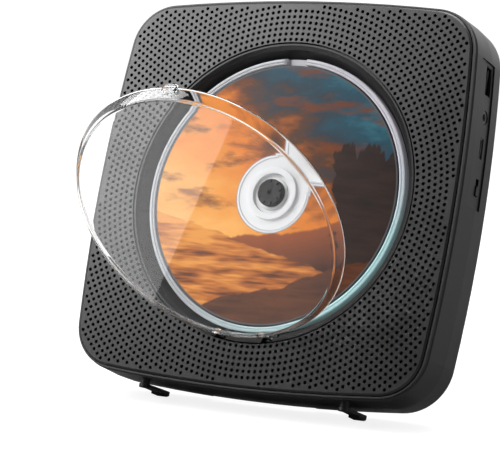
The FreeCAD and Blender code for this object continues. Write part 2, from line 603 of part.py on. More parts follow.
# The recess follows the bow of the side and deepens from its front edge to the widest place.
port_form = body_of("port_form")
loft(port_form, "port_surface", [
    (RIM_DEPTH, "rim_step"),
    ("wide_depth", "port_step"),
    ("housing_depth", "port_step"),
])
port_room = box("port_room", (f"{INNER_HALF} - wall", f"{WIDE_HALF} + wall"),
                ("wide_depth / 2", "port_back"), ("port_low", "port_high"))
port_cut = cut("port_cut", port_room, [port_form])
usb_hole = box("usb_hole", port_through("usb_up"), middle("usb_depth", "usb_short + seat_play"),
               middle("usb_up", "usb_long + seat_play"))
charge_hole = box("charge_hole", port_through("charge_up"),
                  middle("charge_depth", "charge_short + seat_play"),
                  middle("charge_up", "charge_long + seat_play"))
jack_hole = rod("jack_hole", "X", (port_through("jack_up")[0], "jack_depth", "jack_up"),
                "jack_collar + seat_play / 2", "4 * wall")
switch_slot = box("switch_slot", port_through("switch_up"),
                  middle("switch_depth", "knob_short + 2 * seat_play"),
                  middle("switch_up", "knob_long + switch_travel + 2 * seat_play"))

KEYS = ("key_mode", "key_previous", "key_play", "key_next", "key_volume")
keys_at = [(label, f"({number - len(KEYS) // 2} * key_pitch)") for number, label in enumerate(KEYS)]
key_holes = [box(f"{label}_hole", middle(x, "key_width + 2 * seat_play"),
                 middle("key_place", "key_depth + 2 * seat_play"),
                 (f"{INNER_HALF} - wall", f"{WIDE_HALF} + wall"))
             for label, x in keys_at]

housing_solid = fuse("housing_solid", [cabinet] + cover_bosses + key_posts + foot_bosses)
node("housing", cut("housing_cut", housing_solid, [
    well_hole, hinge_notch, port_cut, usb_hole, charge_hole, jack_hole, switch_slot,
] + speaker_holes + key_holes + cover_boss_holes + key_post_holes + foot_boss_holes))

# Rear cover: a rounded plate with a locating lip, board standoffs and the kickstand's open-ended recess.
LIP_GROW = "(flare - wall - lip_clearance)"
cover_body = body_of("cover_shell")
loft(cover_body, "cover_form", [
    ("housing_depth", "flare"),
    (f"{REAR} - cover_round / 1.3", "flare"),
    (f"{REAR} - cover_round / 4", "(flare - cover_round / 2.6)"),
    (REAR, "(flare - cover_round)"),
])
loft(cover_body, "cover_lip", [("housing_depth - lip_depth", LIP_GROW), ("housing_depth", LIP_GROW)])
loft(cover_body, "cover_hollow", [
    ("housing_depth - lip_depth", f"({LIP_GROW} - lip_wall)"),
    (COVER_INNER, f"({LIP_GROW} - lip_wall)"),
], cuts=True)

RECESS_HALF = "(stand_half + stand_side)"
RECESS_TOP = "(hinge_up + tub_reach)"
TUB_LOW = f"(0 - ({INNER_HALF} - 4 * seat_play))"
stand_tub = box("stand_tub", middle("0", f"2 * {RECESS_HALF} + 2 * tub_wall"),
                (f"{RECESS_FLOOR} - tub_wall", f"{REAR} - cover_wall / 2"),
                (TUB_LOW, f"{RECESS_TOP} + tub_wall"))
stand_recess = box("stand_recess", middle("0", f"2 * {RECESS_HALF}"),
                   (RECESS_FLOOR, f"{REAR} + cover_wall"),
                   (f"0 - {WIDE_HALF} - wall", RECESS_TOP))
stand_pin_hole = rod("stand_pin_hole", "X",
                     (f"0 - {RECESS_HALF} - tub_wall / 2", STAND_DEPTH, "hinge_up"),
                     "stand_pin + hole_play", f"2 * {RECESS_HALF} + tub_wall")
board_screws_at = [(x, z) for x in ("(board_left + board_screw_inset)",
                                    f"({BOARD_RIGHT} - board_screw_inset)")
                   for z in ("(board_low + board_screw_inset)", "(board_high - board_screw_inset)")]
standoffs = [rod(f"standoff_{number}", "Y", (x, BOARD_BACK, z), "standoff_radius",
                 f"{REAR} - cover_wall / 2 - {BOARD_BACK}")
             for number, (x, z) in enumerate(board_screws_at)]
standoff_holes = [rod(f"standoff_hole_{number}", "Y", (x, f"{BOARD_BACK} - seat_play", z),
                      "small_screw + hole_play", "small_length + seat_play")
                  for number, (x, z) in enumerate(board_screws_at)]
cover_holes = [rod(f"cover_hole_{number}", "Y", (x, "housing_depth - lip_depth", z),
                   "screw_radius + hole_play", "cover_depth + 2 * lip_depth")
               for number, (x, z) in enumerate(cover_screws_at)]
cover_sinks = [rod(f"cover_sink_{number}", "Y", (x, f"{REAR} - screw_head", z),
                   "screw_head_radius + seat_play", "2 * screw_head")
               for number, (x, z) in enumerate(cover_screws_at)]
cover_solid = fuse("cover_solid", [cover_body, stand_tub] + standoffs)
cover_openings = [stand_recess, stand_pin_hole] + standoff_holes + cover_holes + cover_sinks
node("rear_cover", cut("cover_cut", cover_solid, cover_openings))


def screw(name, axis, tip, radius, length, head_radius, head, side):
    """A pan-head screw from its tip, with its head further along the axis (1) or before it (-1)."""
    x, y, z = tip
    shank = rod(f"{name}_shank", axis, tip, radius, length)
    step = length if side > 0 else f"0 - ({head})"
    shift = {"X": (f"{x} + {step}", y, z), "Y": (x, f"{y} + {step}", z),
             "Z": (x, y, f"{z} + {step}")}[axis]
    cap = rod(f"{name}_head", axis, shift, head_radius, head)
    return fuse(name, [shank, cap])


cover_screws = [screw(f"cover_screw_{number}", "Y", (x, COVER_SCREW_TIP, z), "screw_radius",
                      "cover_screw_length", "screw_head_radius", "screw_head", 1)
                for number, (x, z) in enumerate(cover_screws_at)]
node("cover_screws", group("cover_screw_set", cover_screws))

# Disc well: bezel rim, sloping wall and floor in one moulding, with hinge lugs and the mechanism's bosses.
bezel = rod("bezel", "Y", ("0", "bezel_front", "0"), "bezel_radius", "panel_thickness - bezel_front")
well_cup = rod("well_cup", "Y", ("0", "bezel_front", "0"), WELL_OUTER, f"{WELL_BACK} - bezel_front")
dampers_at = [(x, z) for x in ("damper_near", "(0 - damper_far)") for z in both("damper_half")]
DAMPER_FRONT = f"({CHASSIS_FRONT} - damper_flange)"
well_bosses = [rod(f"well_boss_{number}", "Y", (x, f"{WELL_BACK} - well_floor / 2", z), "damper_radius",
                   f"{DAMPER_FRONT} - {WELL_BACK} + well_floor / 2")
               for number, (x, z) in enumerate(dampers_at)]
EARS = both("ear_spacing / 2")
lug_blocks = [box(f"lug_block_{number}", middle(x, f"2 * {EAR_ROOM}"),
                  ("hinge_depth - knuckle_radius", "hinge_depth + knuckle_radius + seat_play"),
                  ("0 - bezel_radius", "0 - hinge_below + 1.5 * knuckle_radius"))
              for number, x in enumerate(EARS)]
lug_round = rod("lug_round", "Y", ("0", "0", "0"), "bezel_radius", "well_depth")
lugs = common("lugs", fuse("lug_pair", lug_blocks), lug_round)
well_solid = fuse("well_solid", [bezel, well_cup] + well_bosses)

well_bevel = taper("well_bevel", ("0", "bezel_front", "0"), "bezel_radius - bezel_lip", "well_radius",
                   "bezel_bevel")
WALL_TOP = "(bezel_front + bezel_bevel)"
well_bowl = taper("well_bowl", ("0", WALL_TOP, "0"), "well_radius", "well_floor_radius",
                  f"well_depth - {WALL_TOP}")
hub_window = rod("hub_window_hole", "Y", ("0", "well_depth / 2", "0"), "hub_window",
                 "well_depth + well_floor")
LENS_END = "(sled_start + sled_travel + lens_radius)"
lens_slot = box("lens_slot", (f"0 - {LENS_END} - 2 * seat_play", "0"),
                ("well_depth / 2", f"{WELL_BACK} + seat_play"), middle("0", "2 * slot_half"))
boss_holes = [rod(f"well_boss_hole_{number}", "Y", (x, f"{WELL_BACK} + seat_play", z),
                  "damper_screw + hole_play", "well_depth")
              for number, (x, z) in enumerate(dampers_at)]
ear_pockets = [box(f"ear_pocket_{number}", middle(x, "ear_width + 2 * seat_play"),
                   ("0 - seat_play", "hinge_depth + 2 * knuckle_radius"),
                   ("0 - bezel_radius - seat_play", "0 - lid_skirt_radius + knuckle_radius"))
               for number, x in enumerate(EARS)]
PIN_LENGTH = f"(2 * {EAR_ROOM} - lug / 2)"
HINGE_Z = "(0 - hinge_below)"
pin_holes = [rod(f"pin_hole_{number}", "X", (f"{x} - {PIN_LENGTH} / 2", "hinge_depth", HINGE_Z),
                 "pin_radius + hole_play", PIN_LENGTH)
             for number, x in enumerate(EARS)]
well_open = cut("well_open", well_solid, [well_bevel, well_bowl, hub_window, lens_slot] + boss_holes)
well_lugged = fuse("well_lugged", [well_open, lugs])
node("disc_well", cut("well_cut", well_lugged, ear_pockets + pin_holes))

hinge_pins = [rod(f"hinge_pin_{number}", "X", (f"{x} - {PIN_LENGTH} / 2", "hinge_depth", HINGE_Z),
                  "pin_radius", PIN_LENGTH)
              for number, x in enumerate(EARS)]
node("lid_hinge_pins", group("hinge_pin_pair", hinge_pins))

# Clear ring round the disc, standing on the floor of the well, with the catch's notch at the top.
RING_OUTER = "(ring_inner + ring_width)"
ring_block = rod("ring_block", "Y", ("0", "disc_sink", "0"), RING_OUTER, "well_depth - disc_sink")
ring_hole = rod("ring_hole", "Y", ("0", "0", "0"), "ring_inner", "2 * well_depth")
ring_notch = box("ring_notch", middle("0", "catch_width"), ("0", "disc_sink + catch_depth"),
                 ("0", f"{RING_OUTER} + ring_width"))
node("light_ring", cut("ring_cut", ring_block, [ring_hole, ring_notch]))

# Lid: a shallow clear dish with a slanting skirt, two hinge ears at the bottom and a latch tab at the top.
LID_FRONT = "(0 - lid_rise)"
LID_BACK = "(lid_skirt - lid_rise)"
dish = taper("dish", ("0", LID_FRONT, "0"), "lid_radius", "lid_skirt_radius", "lid_skirt")
DISH_SLOPE = "((lid_skirt_radius - lid_radius) * lid_plate / lid_skirt)"
dish_hollow = taper("dish_hollow", ("0", f"{LID_FRONT} + lid_plate", "0"),
                    f"lid_radius + {DISH_SLOPE} - lid_wall", "lid_skirt_radius - lid_wall",
                    "lid_skirt - lid_plate")
lid_dish = cut("lid_dish", dish, [dish_hollow])
lid_tab = box("lid_tab", middle("0", "lid_tab_width"),
              (f"{LID_BACK} + lid_tab_drop - lid_tab_height", f"{LID_BACK} + lid_tab_drop"),
              ("lid_skirt_radius - lid_wall / 2", "lid_skirt_radius + lid_tab_reach"))
ear_arms = []
for number, x in enumerate(EARS):
    arm = doc.addObject("Part::Box", f"ear_arm_{number}")
    arm.Placement = FreeCAD.Placement(FreeCAD.Vector(), FreeCAD.Rotation(X_AXIS, size("ear_tilt")))
    bind(arm, Length="ear_width", Width="ear_thickness", Height="ear_length", x=middle(x, "ear_width")[0],
         y="hinge_depth - ear_thickness / 2 * cos(ear_tilt)",
         z=f"{HINGE_Z} - ear_thickness / 2 * sin(ear_tilt)")
    ear_arms.append(arm)
    ear_arms.append(rod(f"knuckle_{number}", "X", (middle(x, "ear_width")[0], "hinge_depth", HINGE_Z),
                        "knuckle_radius", "ear_width"))
ear_bores = [rod(f"ear_bore_{number}", "X", (middle(x, "ear_width")[0], "hinge_depth", HINGE_Z),
                 "pin_radius + hole_play", "ear_width")
             for number, x in enumerate(EARS)]
lid_closed = cut("lid_closed", fuse("lid_solid", [lid_dish, lid_tab] + ear_arms), ear_bores)
lid_open = swing("lid_open", lid_closed, size("lid_angle"), size("hinge_depth"), -size("hinge_below"))
node("lid", group("lid_placed", [lid_open]))

# Disc, hub, notched cap and spindle shaft, which turn together.
disc_plate = rod("disc_plate", "Y", ("0", "disc_sink", "0"), "disc_radius", "disc_thickness")
disc_bore = rod("disc_bore", "Y", ("0", "0", "0"), "disc_hole", "2 * well_depth")
node("disc", cut("disc_cut", disc_plate, [disc_bore]))

platform = rod("platform", "Y", ("0", DISC_BACK, "0"), "hub_radius", "hub_thickness")
hub_boss = rod("hub_boss", "Y", ("0", CAP_BACK, "0"), "disc_hole - hub_play", f"{DISC_BACK} - {CAP_BACK}")
hub_stem = rod("hub_stem_rod", "Y", ("0", HUB_BACK, "0"), "hub_stem_radius", "hub_stem")
SHAFT_FRONT = f"({CAP_BACK} + hub_thickness / 2)"
hub_bore = rod("hub_bore", "Y", ("0", SHAFT_FRONT, "0"), "shaft_radius + hole_play / 2", "2 * well_depth")
node("turntable_hub", cut("hub_cut", fuse("hub_solid", [platform, hub_boss, hub_stem]), [hub_bore]))

cap_drum = taper("cap_drum", ("0", f"{CAP_BACK} - cap_height", "0"), "cap_radius - cap_notch",
                 "cap_radius", "cap_notch")
cap_base = rod("cap_base", "Y", ("0", f"{CAP_BACK} - cap_height + cap_notch", "0"), "cap_radius",
               "cap_height - cap_notch")
cap_cuts = [rod("cap_hole_cut", "Y", ("0", f"{CAP_BACK} - cap_height - seat_play", "0"), "cap_hole",
                "cap_height / 2 + seat_play")]
for number in range(int(size("cap_notches"))):
    turn = f"({number} * 360 / cap_notches)"
    cap_cuts.append(rod(f"cap_notch_{number}", "Y",
                        (f"cap_radius * cos({turn})", f"{CAP_BACK} - cap_height - seat_play",
                         f"cap_radius * sin({turn})"),
                        "cap_notch", "cap_height + seat_play"))
node("spindle_cap", cut("cap_cut", fuse("cap_solid", [cap_drum, cap_base]), cap_cuts))

MOTOR_END = f"({CHASSIS_BACK} + motor_height)"
SHAFT_BACK = f"({MOTOR_END} - motor_height / 4)"
shaft = rod("shaft", "Y", ("0", SHAFT_FRONT, "0"), "shaft_radius", f"{SHAFT_BACK} - {SHAFT_FRONT}")
node("spindle_shaft", group("shaft_placed", [shaft]))
motor_can = rod("motor_can", "Y", ("0", CHASSIS_BACK, "0"), "motor_radius", "motor_height")
motor_neck = rod("motor_neck_rod", "Y", ("0", CHASSIS_FRONT, "0"), "motor_neck", "chassis_plate")
motor_bore = rod("motor_bore", "Y", ("0", "well_depth", "0"), "shaft_radius + hole_play",
                 f"{SHAFT_BACK} + hole_play - well_depth")
node("spindle_motor", cut("motor_cut", fuse("motor_solid", [motor_can, motor_neck]), [motor_bore]))

# Mechanism chassis: a plate with two end walls, hung from the well on rubber dampers.
chassis_plate = box("chassis_sheet", (CHASSIS_LEFT, "chassis_right"), (CHASSIS_FRONT, CHASSIS_BACK),
                    middle("0", "2 * chassis_half"))
BRACKETS = (BRACKET_RIGHT, CHASSIS_LEFT)
chassis_walls = [box(f"chassis_wall_{number}", (x, f"{x} + bracket"),
                     (f"{SLED_FRONT} - seat_play", CHASSIS_FRONT), middle("0", "2 * bracket_half"))
                 for number, x in enumerate(BRACKETS)]
neck_hole = rod("neck_hole", "Y", ("0", "well_depth", "0"), "motor_neck + hole_play", "3 * well_depth")
damper_holes = [rod(f"damper_hole_{number}", "Y", (x, "well_depth", z), "damper_neck + hole_play",
                    "3 * well_depth")
                for number, (x, z) in enumerate(dampers_at)]
ROD_SPAN = f"({BRACKET_RIGHT} + bracket - {CHASSIS_LEFT})"
rods_at = both("rod_offset")
rod_bores = [rod(f"rod_bore_{number}", "X", (CHASSIS_LEFT, SLED_AXIS, z), "rod_radius + hole_play / 2",
                 ROD_SPAN)
             for number, z in enumerate(rods_at)]
LEAD_Z = "(0 - screw_offset)"
journal_bore = rod("journal_bore", "X", (CHASSIS_LEFT, SLED_AXIS, LEAD_Z), "journal_radius + hole_play",
                   ROD_SPAN)
node("mechanism_chassis", cut("chassis_cut", fuse("chassis_solid", [chassis_plate] + chassis_walls),
                              [neck_hole, journal_bore] + damper_holes + rod_bores))
guide_rods = [rod(f"guide_rod_{number}", "X", (CHASSIS_LEFT, SLED_AXIS, z), "rod_radius", ROD_SPAN)
              for number, z in enumerate(rods_at)]
node("guide_rods", group("guide_rod_pair", guide_rods))

damper_set = []
chassis_screws = []
for number, (x, z) in enumerate(dampers_at):
    front = rod(f"damper_front_{number}", "Y", (x, DAMPER_FRONT, z), "damper_radius", "damper_flange")
    neck = rod(f"damper_neck_{number}", "Y", (x, CHASSIS_FRONT, z), "damper_neck", "chassis_plate")
    back = rod(f"damper_back_{number}", "Y", (x, CHASSIS_BACK, z), "damper_radius", "damper_flange")
    bore = rod(f"damper_bore_{number}", "Y", (x, "well_depth", z), "damper_screw + hole_play",
               "3 * well_depth")
    damper_set.append(cut(f"damper_{number}", fuse(f"damper_solid_{number}", [front, neck, back]),
                          [bore]))
    tip = (x, f"{CHASSIS_BACK} + damper_flange - damper_screw_length", z)
    chassis_screws.append(screw(f"chassis_screw_{number}", "Y", tip, "damper_screw",
                                "damper_screw_length", "damper_neck", "small_head_height", 1))
node("damper_bushes", group("damper_bush_set", damper_set))
node("chassis_screws", group("chassis_screw_set", chassis_screws))

# Pickup: sled on two rods with the lens barrel, driven by a lead screw and its motor.
SLED_X = (f"{SLED_RIGHT} - sled_length", SLED_RIGHT)
sled_block = box("sled_block", SLED_X, (SLED_FRONT, SLED_BACK), middle("0", "2 * sled_half"))
sled_bores = [rod(f"sled_bore_{number}", "X", (SLED_X[0], SLED_AXIS, z), "rod_radius + hole_play",
                  "sled_length")
              for number, z in enumerate(rods_at)]
nut_bore = rod("nut_bore", "X", (SLED_X[0], SLED_AXIS, LEAD_Z), "lead_radius + hole_play", "sled_length")
node("pickup_sled", cut("sled_cut", sled_block, sled_bores + [nut_bore]))
LENS_FRONT = f"({DISC_BACK} + lens_gap)"
lens_barrel = rod("lens_barrel", "Y", ("0 - sled_start", LENS_FRONT, "0"), "lens_radius",
                  f"{SLED_FRONT} - {LENS_FRONT}")
node("pickup_lens", group("lens_placed", [lens_barrel]))
LEAD_LEFT = f"({BRACKET_LEFT} + seat_play)"
LEAD_RIGHT = f"({BRACKET_RIGHT} - seat_play)"
lead_thread = rod("lead_thread", "X", (LEAD_LEFT, SLED_AXIS, LEAD_Z), "lead_radius",
                  f"{LEAD_RIGHT} - {LEAD_LEFT}")
JOURNAL_LEFT = f"({CHASSIS_LEFT} - sled_motor_length / 2)"
lead_journal = rod("lead_journal", "X", (JOURNAL_LEFT, SLED_AXIS, LEAD_Z), "journal_radius",
                   f"{BRACKET_RIGHT} + bracket - {JOURNAL_LEFT}")
node("lead_screw", fuse("lead_solid", [lead_thread, lead_journal]))
sled_can = rod("sled_can", "X", (f"{CHASSIS_LEFT} - sled_motor_length", SLED_AXIS, LEAD_Z),
               "sled_motor_radius", "sled_motor_length")
sled_motor_bore = rod("sled_motor_bore", "X", (f"{JOURNAL_LEFT} - seat_play", SLED_AXIS, LEAD_Z),
                      "journal_radius + hole_play", "sled_motor_length")
node("sled_motor", cut("sled_motor_cut", sled_can, [sled_motor_bore]))

# Loudspeakers in the lower corners: a frame on the baffle, a paper cone and a magnet behind.
SPEAKER_BACK = f"({BAFFLE_BACK} + speaker_flange + speaker_basket)"
speaker_screws = []
for side, x, z in speakers_at:
    flange = rod(f"flange_{side}", "Y", (x, BAFFLE_BACK, z), "speaker_radius", "speaker_flange")
    basket = taper(f"basket_{side}", (x, f"{BAFFLE_BACK} + speaker_flange", z),
                   "speaker_cone + speaker_wall", "speaker_magnet", "speaker_basket")
    mouth = rod(f"mouth_{side}", "Y", (x, BAFFLE_BACK, z), "speaker_cone", "speaker_flange")
    hollow = taper(f"hollow_{side}", (x, f"{BAFFLE_BACK} + speaker_flange", z), "speaker_cone",
                   "speaker_magnet - speaker_wall", "speaker_basket - speaker_wall")
    outward = {"left": "(0 - 1)", "right": "1"}[side]
    SCREW_OUT = "((speaker_radius + speaker_cone + speaker_wall) / 2)"
    corners = [(f"{x} + {outward} * {SCREW_OUT}", z), (x, f"{z} - {SCREW_OUT}"),
               (f"{x} - {outward} * {SCREW_OUT}", z)]
    screw_holes = []
    for number, (sx, sz) in enumerate(corners):
        name = f"speaker_screw_{side}_{number}"
        screw_holes.append(rod(f"{name}_hole", "Y", (sx, BAFFLE_BACK, sz), "small_screw / 2 + hole_play",
                               "speaker_flange"))
        tip = (sx, BAFFLE_BACK, sz)
        speaker_screws.append(screw(name, "Y", tip, "small_screw / 2", "speaker_flange", "small_screw",
                                    "small_head_height / 2", 1))
    frame = fuse(f"speaker_frame_solid_{side}", [flange, basket])
    node(f"speaker_frame_{side}", cut(f"speaker_frame_cut_{side}", frame, [mouth, hollow] + screw_holes))
    CONE_PLACE = f"{BAFFLE_BACK} + speaker_flange"
    outer = taper(f"cone_outer_{side}", (x, CONE_PLACE, z), "speaker_cone - seat_play",
                  "speaker_magnet / 2", "speaker_basket / 2")
    inner = taper(f"cone_inner_{side}", (x, CONE_PLACE, z), "speaker_cone - seat_play - 2 * paper",
                  "speaker_magnet / 2 - paper", "speaker_basket / 2 - paper")
    coil = rod(f"coil_{side}", "Y", (x, f"{CONE_PLACE} + speaker_basket / 2 - paper", z),
               "speaker_magnet / 2 - paper", "speaker_basket / 2 - speaker_wall + paper")
    paper_cone = cut(f"cone_{side}", outer, [inner])
    node(f"speaker_cone_{side}", fuse(f"speaker_cone_fuse_{side}", [paper_cone, coil]))
    magnet = rod(f"magnet_{side}", "Y", (x, SPEAKER_BACK, z), "speaker_magnet", "magnet_height")
    node(f"speaker_magnet_{side}", group(f"magnet_placed_{side}", [magnet]))
node("speaker_screws", group("speaker_screw_set", speaker_screws))

# Main board on its standoffs, its chips and screws, and the battery pack on the rear cover.
board_sheet = box("board_sheet", ("board_left", BOARD_RIGHT), ("board_depth", BOARD_BACK),
                  ("board_low", "board_high"))
board_holes = [rod(f"board_hole_{number}", "Y", (x, "board_depth", z), "small_screw + hole_play",
                   "board_thickness")
               for number, (x, z) in enumerate(board_screws_at)]
node("main_board", cut("board_cut", board_sheet, board_holes))
board_screws = [screw(f"board_screw_{number}", "Y", (x, "board_depth", z), "small_screw", "small_length",
                      "small_head", "small_head_height", -1)
                for number, (x, z) in enumerate(board_screws_at)]
node("board_screws", group("board_screw_set", board_screws))
CHIP_X = "(board_left + board_screw_inset)"
chips = []
CHIPS = (
    ("tact_width * 2", "tact_width * 2", "board_thickness", "board_low + 3 * board_screw_inset"),
    ("tact_width", "tact_width * 1.5", "board_thickness", "board_low + 6 * board_screw_inset"),
    ("tact_width", "tact_width", "tact_height * 2", "board_low + 8.5 * board_screw_inset"),
)
for number, (width, height, rise, low) in enumerate(CHIPS):
    chips.append(box(f"chip_{number}", (CHIP_X, f"{CHIP_X} + {width}"),
                     (f"board_depth - {rise}", "board_depth"), (low, f"{low} + {height}")))
node("board_chips", group("board_chip_set", chips))
battery = box("battery", ("0 - battery_left", "battery_width - battery_left"),
              (f"{COVER_INNER} - battery_thickness", COVER_INNER),
              ("battery_low", "battery_low + battery_height"))
node("battery_pack", group("battery_placed", [battery]))

# Sockets on the main board's edge, facing the port recess.
USB_FACE = port_face("usb_up")
usb_shell = box("usb_shell", (f"{USB_FACE} - usb_body", USB_FACE), middle("usb_depth", "usb_short"),
                middle("usb_up", "usb_long"))
usb_room = box("usb_room", (f"{USB_FACE} - usb_body + 2 * shell_wall", f"{USB_FACE} + seat_play"),
               middle("usb_depth", "usb_short - 2 * shell_wall"),
               middle("usb_up", "usb_long - 2 * shell_wall"))
usb_tongue = box("usb_tongue_bar", (f"{USB_FACE} - usb_body + shell_wall",
                                    f"{USB_FACE} - shell_wall * 2"),
                 ("usb_depth + usb_short / 2 - shell_wall - 2 * usb_tongue / 1.8",
                  "usb_depth + usb_short / 2 - shell_wall - usb_tongue / 9"),
                 middle("usb_up", "usb_long - 6 * shell_wall"))
usb_legs = [box(f"usb_leg_{number}", (f"{USB_FACE} - usb_body", BOARD_RIGHT),
                ("usb_depth", "board_depth"), middle(f"usb_up + {shift}", "2 * shell_wall"))
            for number, shift in enumerate(both("usb_long / 2 - shell_wall"))]
usb_open = cut("usb_open", fuse("usb_solid", [usb_shell] + usb_legs), [usb_room])
node("usb_socket", fuse("usb_fuse", [usb_open, usb_tongue]))

CHARGE_FACE = port_face("charge_up")
charge_shell = box("charge_shell", (f"{CHARGE_FACE} - charge_body", CHARGE_FACE),
                   middle("charge_depth", "charge_short"), middle("charge_up", "charge_long"))
charge_room = box("charge_room", (f"{CHARGE_FACE} - charge_body + 2 * shell_wall",
                                  f"{CHARGE_FACE} + seat_play"),
                  middle("charge_depth", "charge_short - 2 * shell_wall"),
                  middle("charge_up", "charge_long - 2 * shell_wall"))
charge_tongue = box("charge_tongue_bar",
                    (f"{CHARGE_FACE} - charge_body + shell_wall", f"{CHARGE_FACE} - shell_wall * 2"),
                    middle("charge_depth", "charge_tongue"),
                    middle("charge_up", "charge_long - 8 * shell_wall"))
charge_legs = [box(f"charge_leg_{number}", (f"{CHARGE_FACE} - charge_body", BOARD_RIGHT),
                   ("charge_depth", "board_depth"), middle(f"charge_up + {shift}", "2 * shell_wall"))
               for number, shift in enumerate(both("charge_long / 2 - shell_wall"))]
charge_open = cut("charge_open", fuse("charge_solid", [charge_shell] + charge_legs), [charge_room])
node("charge_socket", fuse("charge_fuse", [charge_open, charge_tongue]))

JACK_FACE = port_face("jack_up")
JACK_INNER = port_inner("jack_up")
jack_block = box("jack_block", (f"{JACK_FACE} - jack_length - shell_wall", f"{JACK_INNER} - 2 * seat_play"),
                 ("jack_depth - jack_body / 2", "board_depth"),
                 middle("jack_up", "jack_body"))
jack_ring = rod("jack_ring", "X", (f"{JACK_INNER} - 3 * seat_play", "jack_depth", "jack_up"),
                "jack_collar", f"{JACK_FACE} - {JACK_INNER} + 3 * seat_play")
jack_hole_bore = rod("jack_bore_hole", "X", (f"{JACK_FACE} - jack_length", "jack_depth", "jack_up"),
                     "jack_bore", "jack_length")
node("headphone_jack", cut("jack_cut", fuse("jack_solid", [jack_block, jack_ring]), [jack_hole_bore]))

# Power switch: a block on the board and a flanged knob that slides in the port recess's slot.
KNOB_BACK = f"({port_inner('switch_up')} - seat_play - knob_flange)"
switch_body = box("switch_body", (f"{KNOB_BACK} - seat_play - switch_block", f"{KNOB_BACK} - seat_play"),
                  ("switch_depth - knob_short", "board_depth"),
                  middle("switch_up", "switch_long"))
node("power_switch_body", group("switch_placed", [switch_body]))
KNOB_UP = "(switch_up - switch_travel / 2)"
knob_plate = box("knob_plate", (KNOB_BACK, f"{KNOB_BACK} + knob_flange"),
                 middle("switch_depth", "knob_short + 4 * seat_play"),
                 middle(KNOB_UP, "knob_long + 4 * seat_play"))
knob_grip = box("knob_grip", (KNOB_BACK, f"{port_face('switch_up')} + knob_rise"),
                middle("switch_depth", "knob_short"), middle(KNOB_UP, "knob_long"))
node("power_switch_knob", fuse("knob_solid", [knob_plate, knob_grip]))

# Keys along the top, their board on two posts, and a small switch under each.
key_sheet = box("key_sheet", middle("0", "2 * key_board_half"), (KEY_BOARD_PLACE[0], KEY_POST_BACK),
                (f"{KEY_BOARD_TOP} - board_thickness", KEY_BOARD_TOP))
key_sheet_holes = [rod(f"key_sheet_hole_{number}", "Z",
                       (x, "key_place", f"{KEY_BOARD_TOP} - board_thickness"), "small_screw + hole_play",
                       "board_thickness")
                   for number, x in enumerate(both("key_board_half - key_post / 2"))]
node("key_board", cut("key_board_cut", key_sheet, key_sheet_holes))
key_board_screws = [screw(f"key_board_screw_{number}", "Z",
                          (x, "key_place", f"{KEY_BOARD_TOP} - board_thickness"), "small_screw",
                          "small_length - board_thickness", "small_head", "small_head_height", -1)
                    for number, x in enumerate(both("key_board_half - key_post / 2"))]
node("key_board_screws", group("key_board_screw_set", key_board_screws))
tacts = []
TACT_TOP = f"({KEY_BOARD_TOP} + tact_height + tact_rise)"
for label, x in keys_at:
    DROP = f"({x} ^ 2 / 2 / (side_radius + flare) + seat_play)"
    tact_block = box(f"{label}_tact", middle(x, "tact_width"), middle("key_place", "tact_width"),
                     (KEY_BOARD_TOP, f"{KEY_BOARD_TOP} + tact_height"))
    tact_peg = rod(f"{label}_tact_peg", "Z", (x, "key_place", f"{KEY_BOARD_TOP} + tact_height"),
                   "tact_button", "tact_rise")
    tacts.append(fuse(f"{label}_tact_solid", [tact_block, tact_peg]))
    cap = box(f"{label}_cap", middle(x, "key_width"), middle("key_place", "key_depth"),
              (f"{INNER_HALF} - {DROP} - key_flange", f"{WIDE_HALF} - {DROP} + seat_play + key_rise"))
    plate = box(f"{label}_plate", middle(x, "key_width + 5 * seat_play"),
                middle("key_place", "key_depth + 5 * seat_play"),
                (f"{INNER_HALF} - {DROP} - 2 * seat_play - key_flange",
                 f"{INNER_HALF} - {DROP} - 2 * seat_play"))
    stem = rod(f"{label}_stem", "Z", (x, "key_place", f"{TACT_TOP} + key_travel + hole_play"),
               "tact_button", f"{INNER_HALF} - {DROP} - key_flange - {TACT_TOP} - key_travel")
    node(label, fuse(f"{label}_solid", [cap, plate, stem]))
node("tact_switches", group("tact_set", tacts))

# Kickstand: a framed leg on a pin across the rear cover's recess, with a rubber strip on its end.
STAND_Y = middle(STAND_DEPTH, "stand_thickness")
stand_plate = box("stand_plate", middle("0", "2 * stand_half"), STAND_Y,
                  (f"hinge_up - {LEG} + stand_pad", "hinge_up"))
stand_barrel = rod("stand_barrel_rod", "X", ("0 - stand_half", STAND_DEPTH, "hinge_up"), "stand_barrel",
                   "2 * stand_half")
stand_window = box("stand_window_cut", middle("0", "2 * stand_window"),
                   (f"{STAND_DEPTH} - stand_thickness", f"{STAND_DEPTH} + stand_thickness"),
                   (f"hinge_up - {LEG} + stand_pad + stand_rail", "hinge_up - stand_rail"))
stand_bore = rod("stand_bore", "X", ("0 - stand_half", STAND_DEPTH, "hinge_up"), "stand_pin + hole_play",
                 "2 * stand_half")
stand_folded = cut("stand_folded", fuse("stand_solid", [stand_plate, stand_barrel]),
                   [stand_window, stand_bore])
stand_depth = size("housing_depth") + size("cover_depth") - size("stand_play") - size("stand_thickness") / 2
stand_open = swing("stand_open", stand_folded, size("stand_angle"), stand_depth, size("hinge_up"))
node("kickstand", group("stand_placed", [stand_open]))
strip = box("strip", middle("0", "2 * stand_half"), STAND_Y,
            (f"hinge_up - {LEG} - stand_pad", f"hinge_up - {LEG} + stand_pad"))
strip_open = swing("strip_open", strip, size("stand_angle"), stand_depth, size("hinge_up"))
node("kickstand_pad", cut("strip_cut", strip_open, [desk("desk_stand")]))
stand_pin = rod("stand_pin_rod", "X", (f"0 - {RECESS_HALF} - tub_wall / 2", STAND_DEPTH, "hinge_up"),
                "stand_pin", f"2 * {RECESS_HALF} + tub_wall")
node("kickstand_pin", group("stand_pin_placed", [stand_pin]))

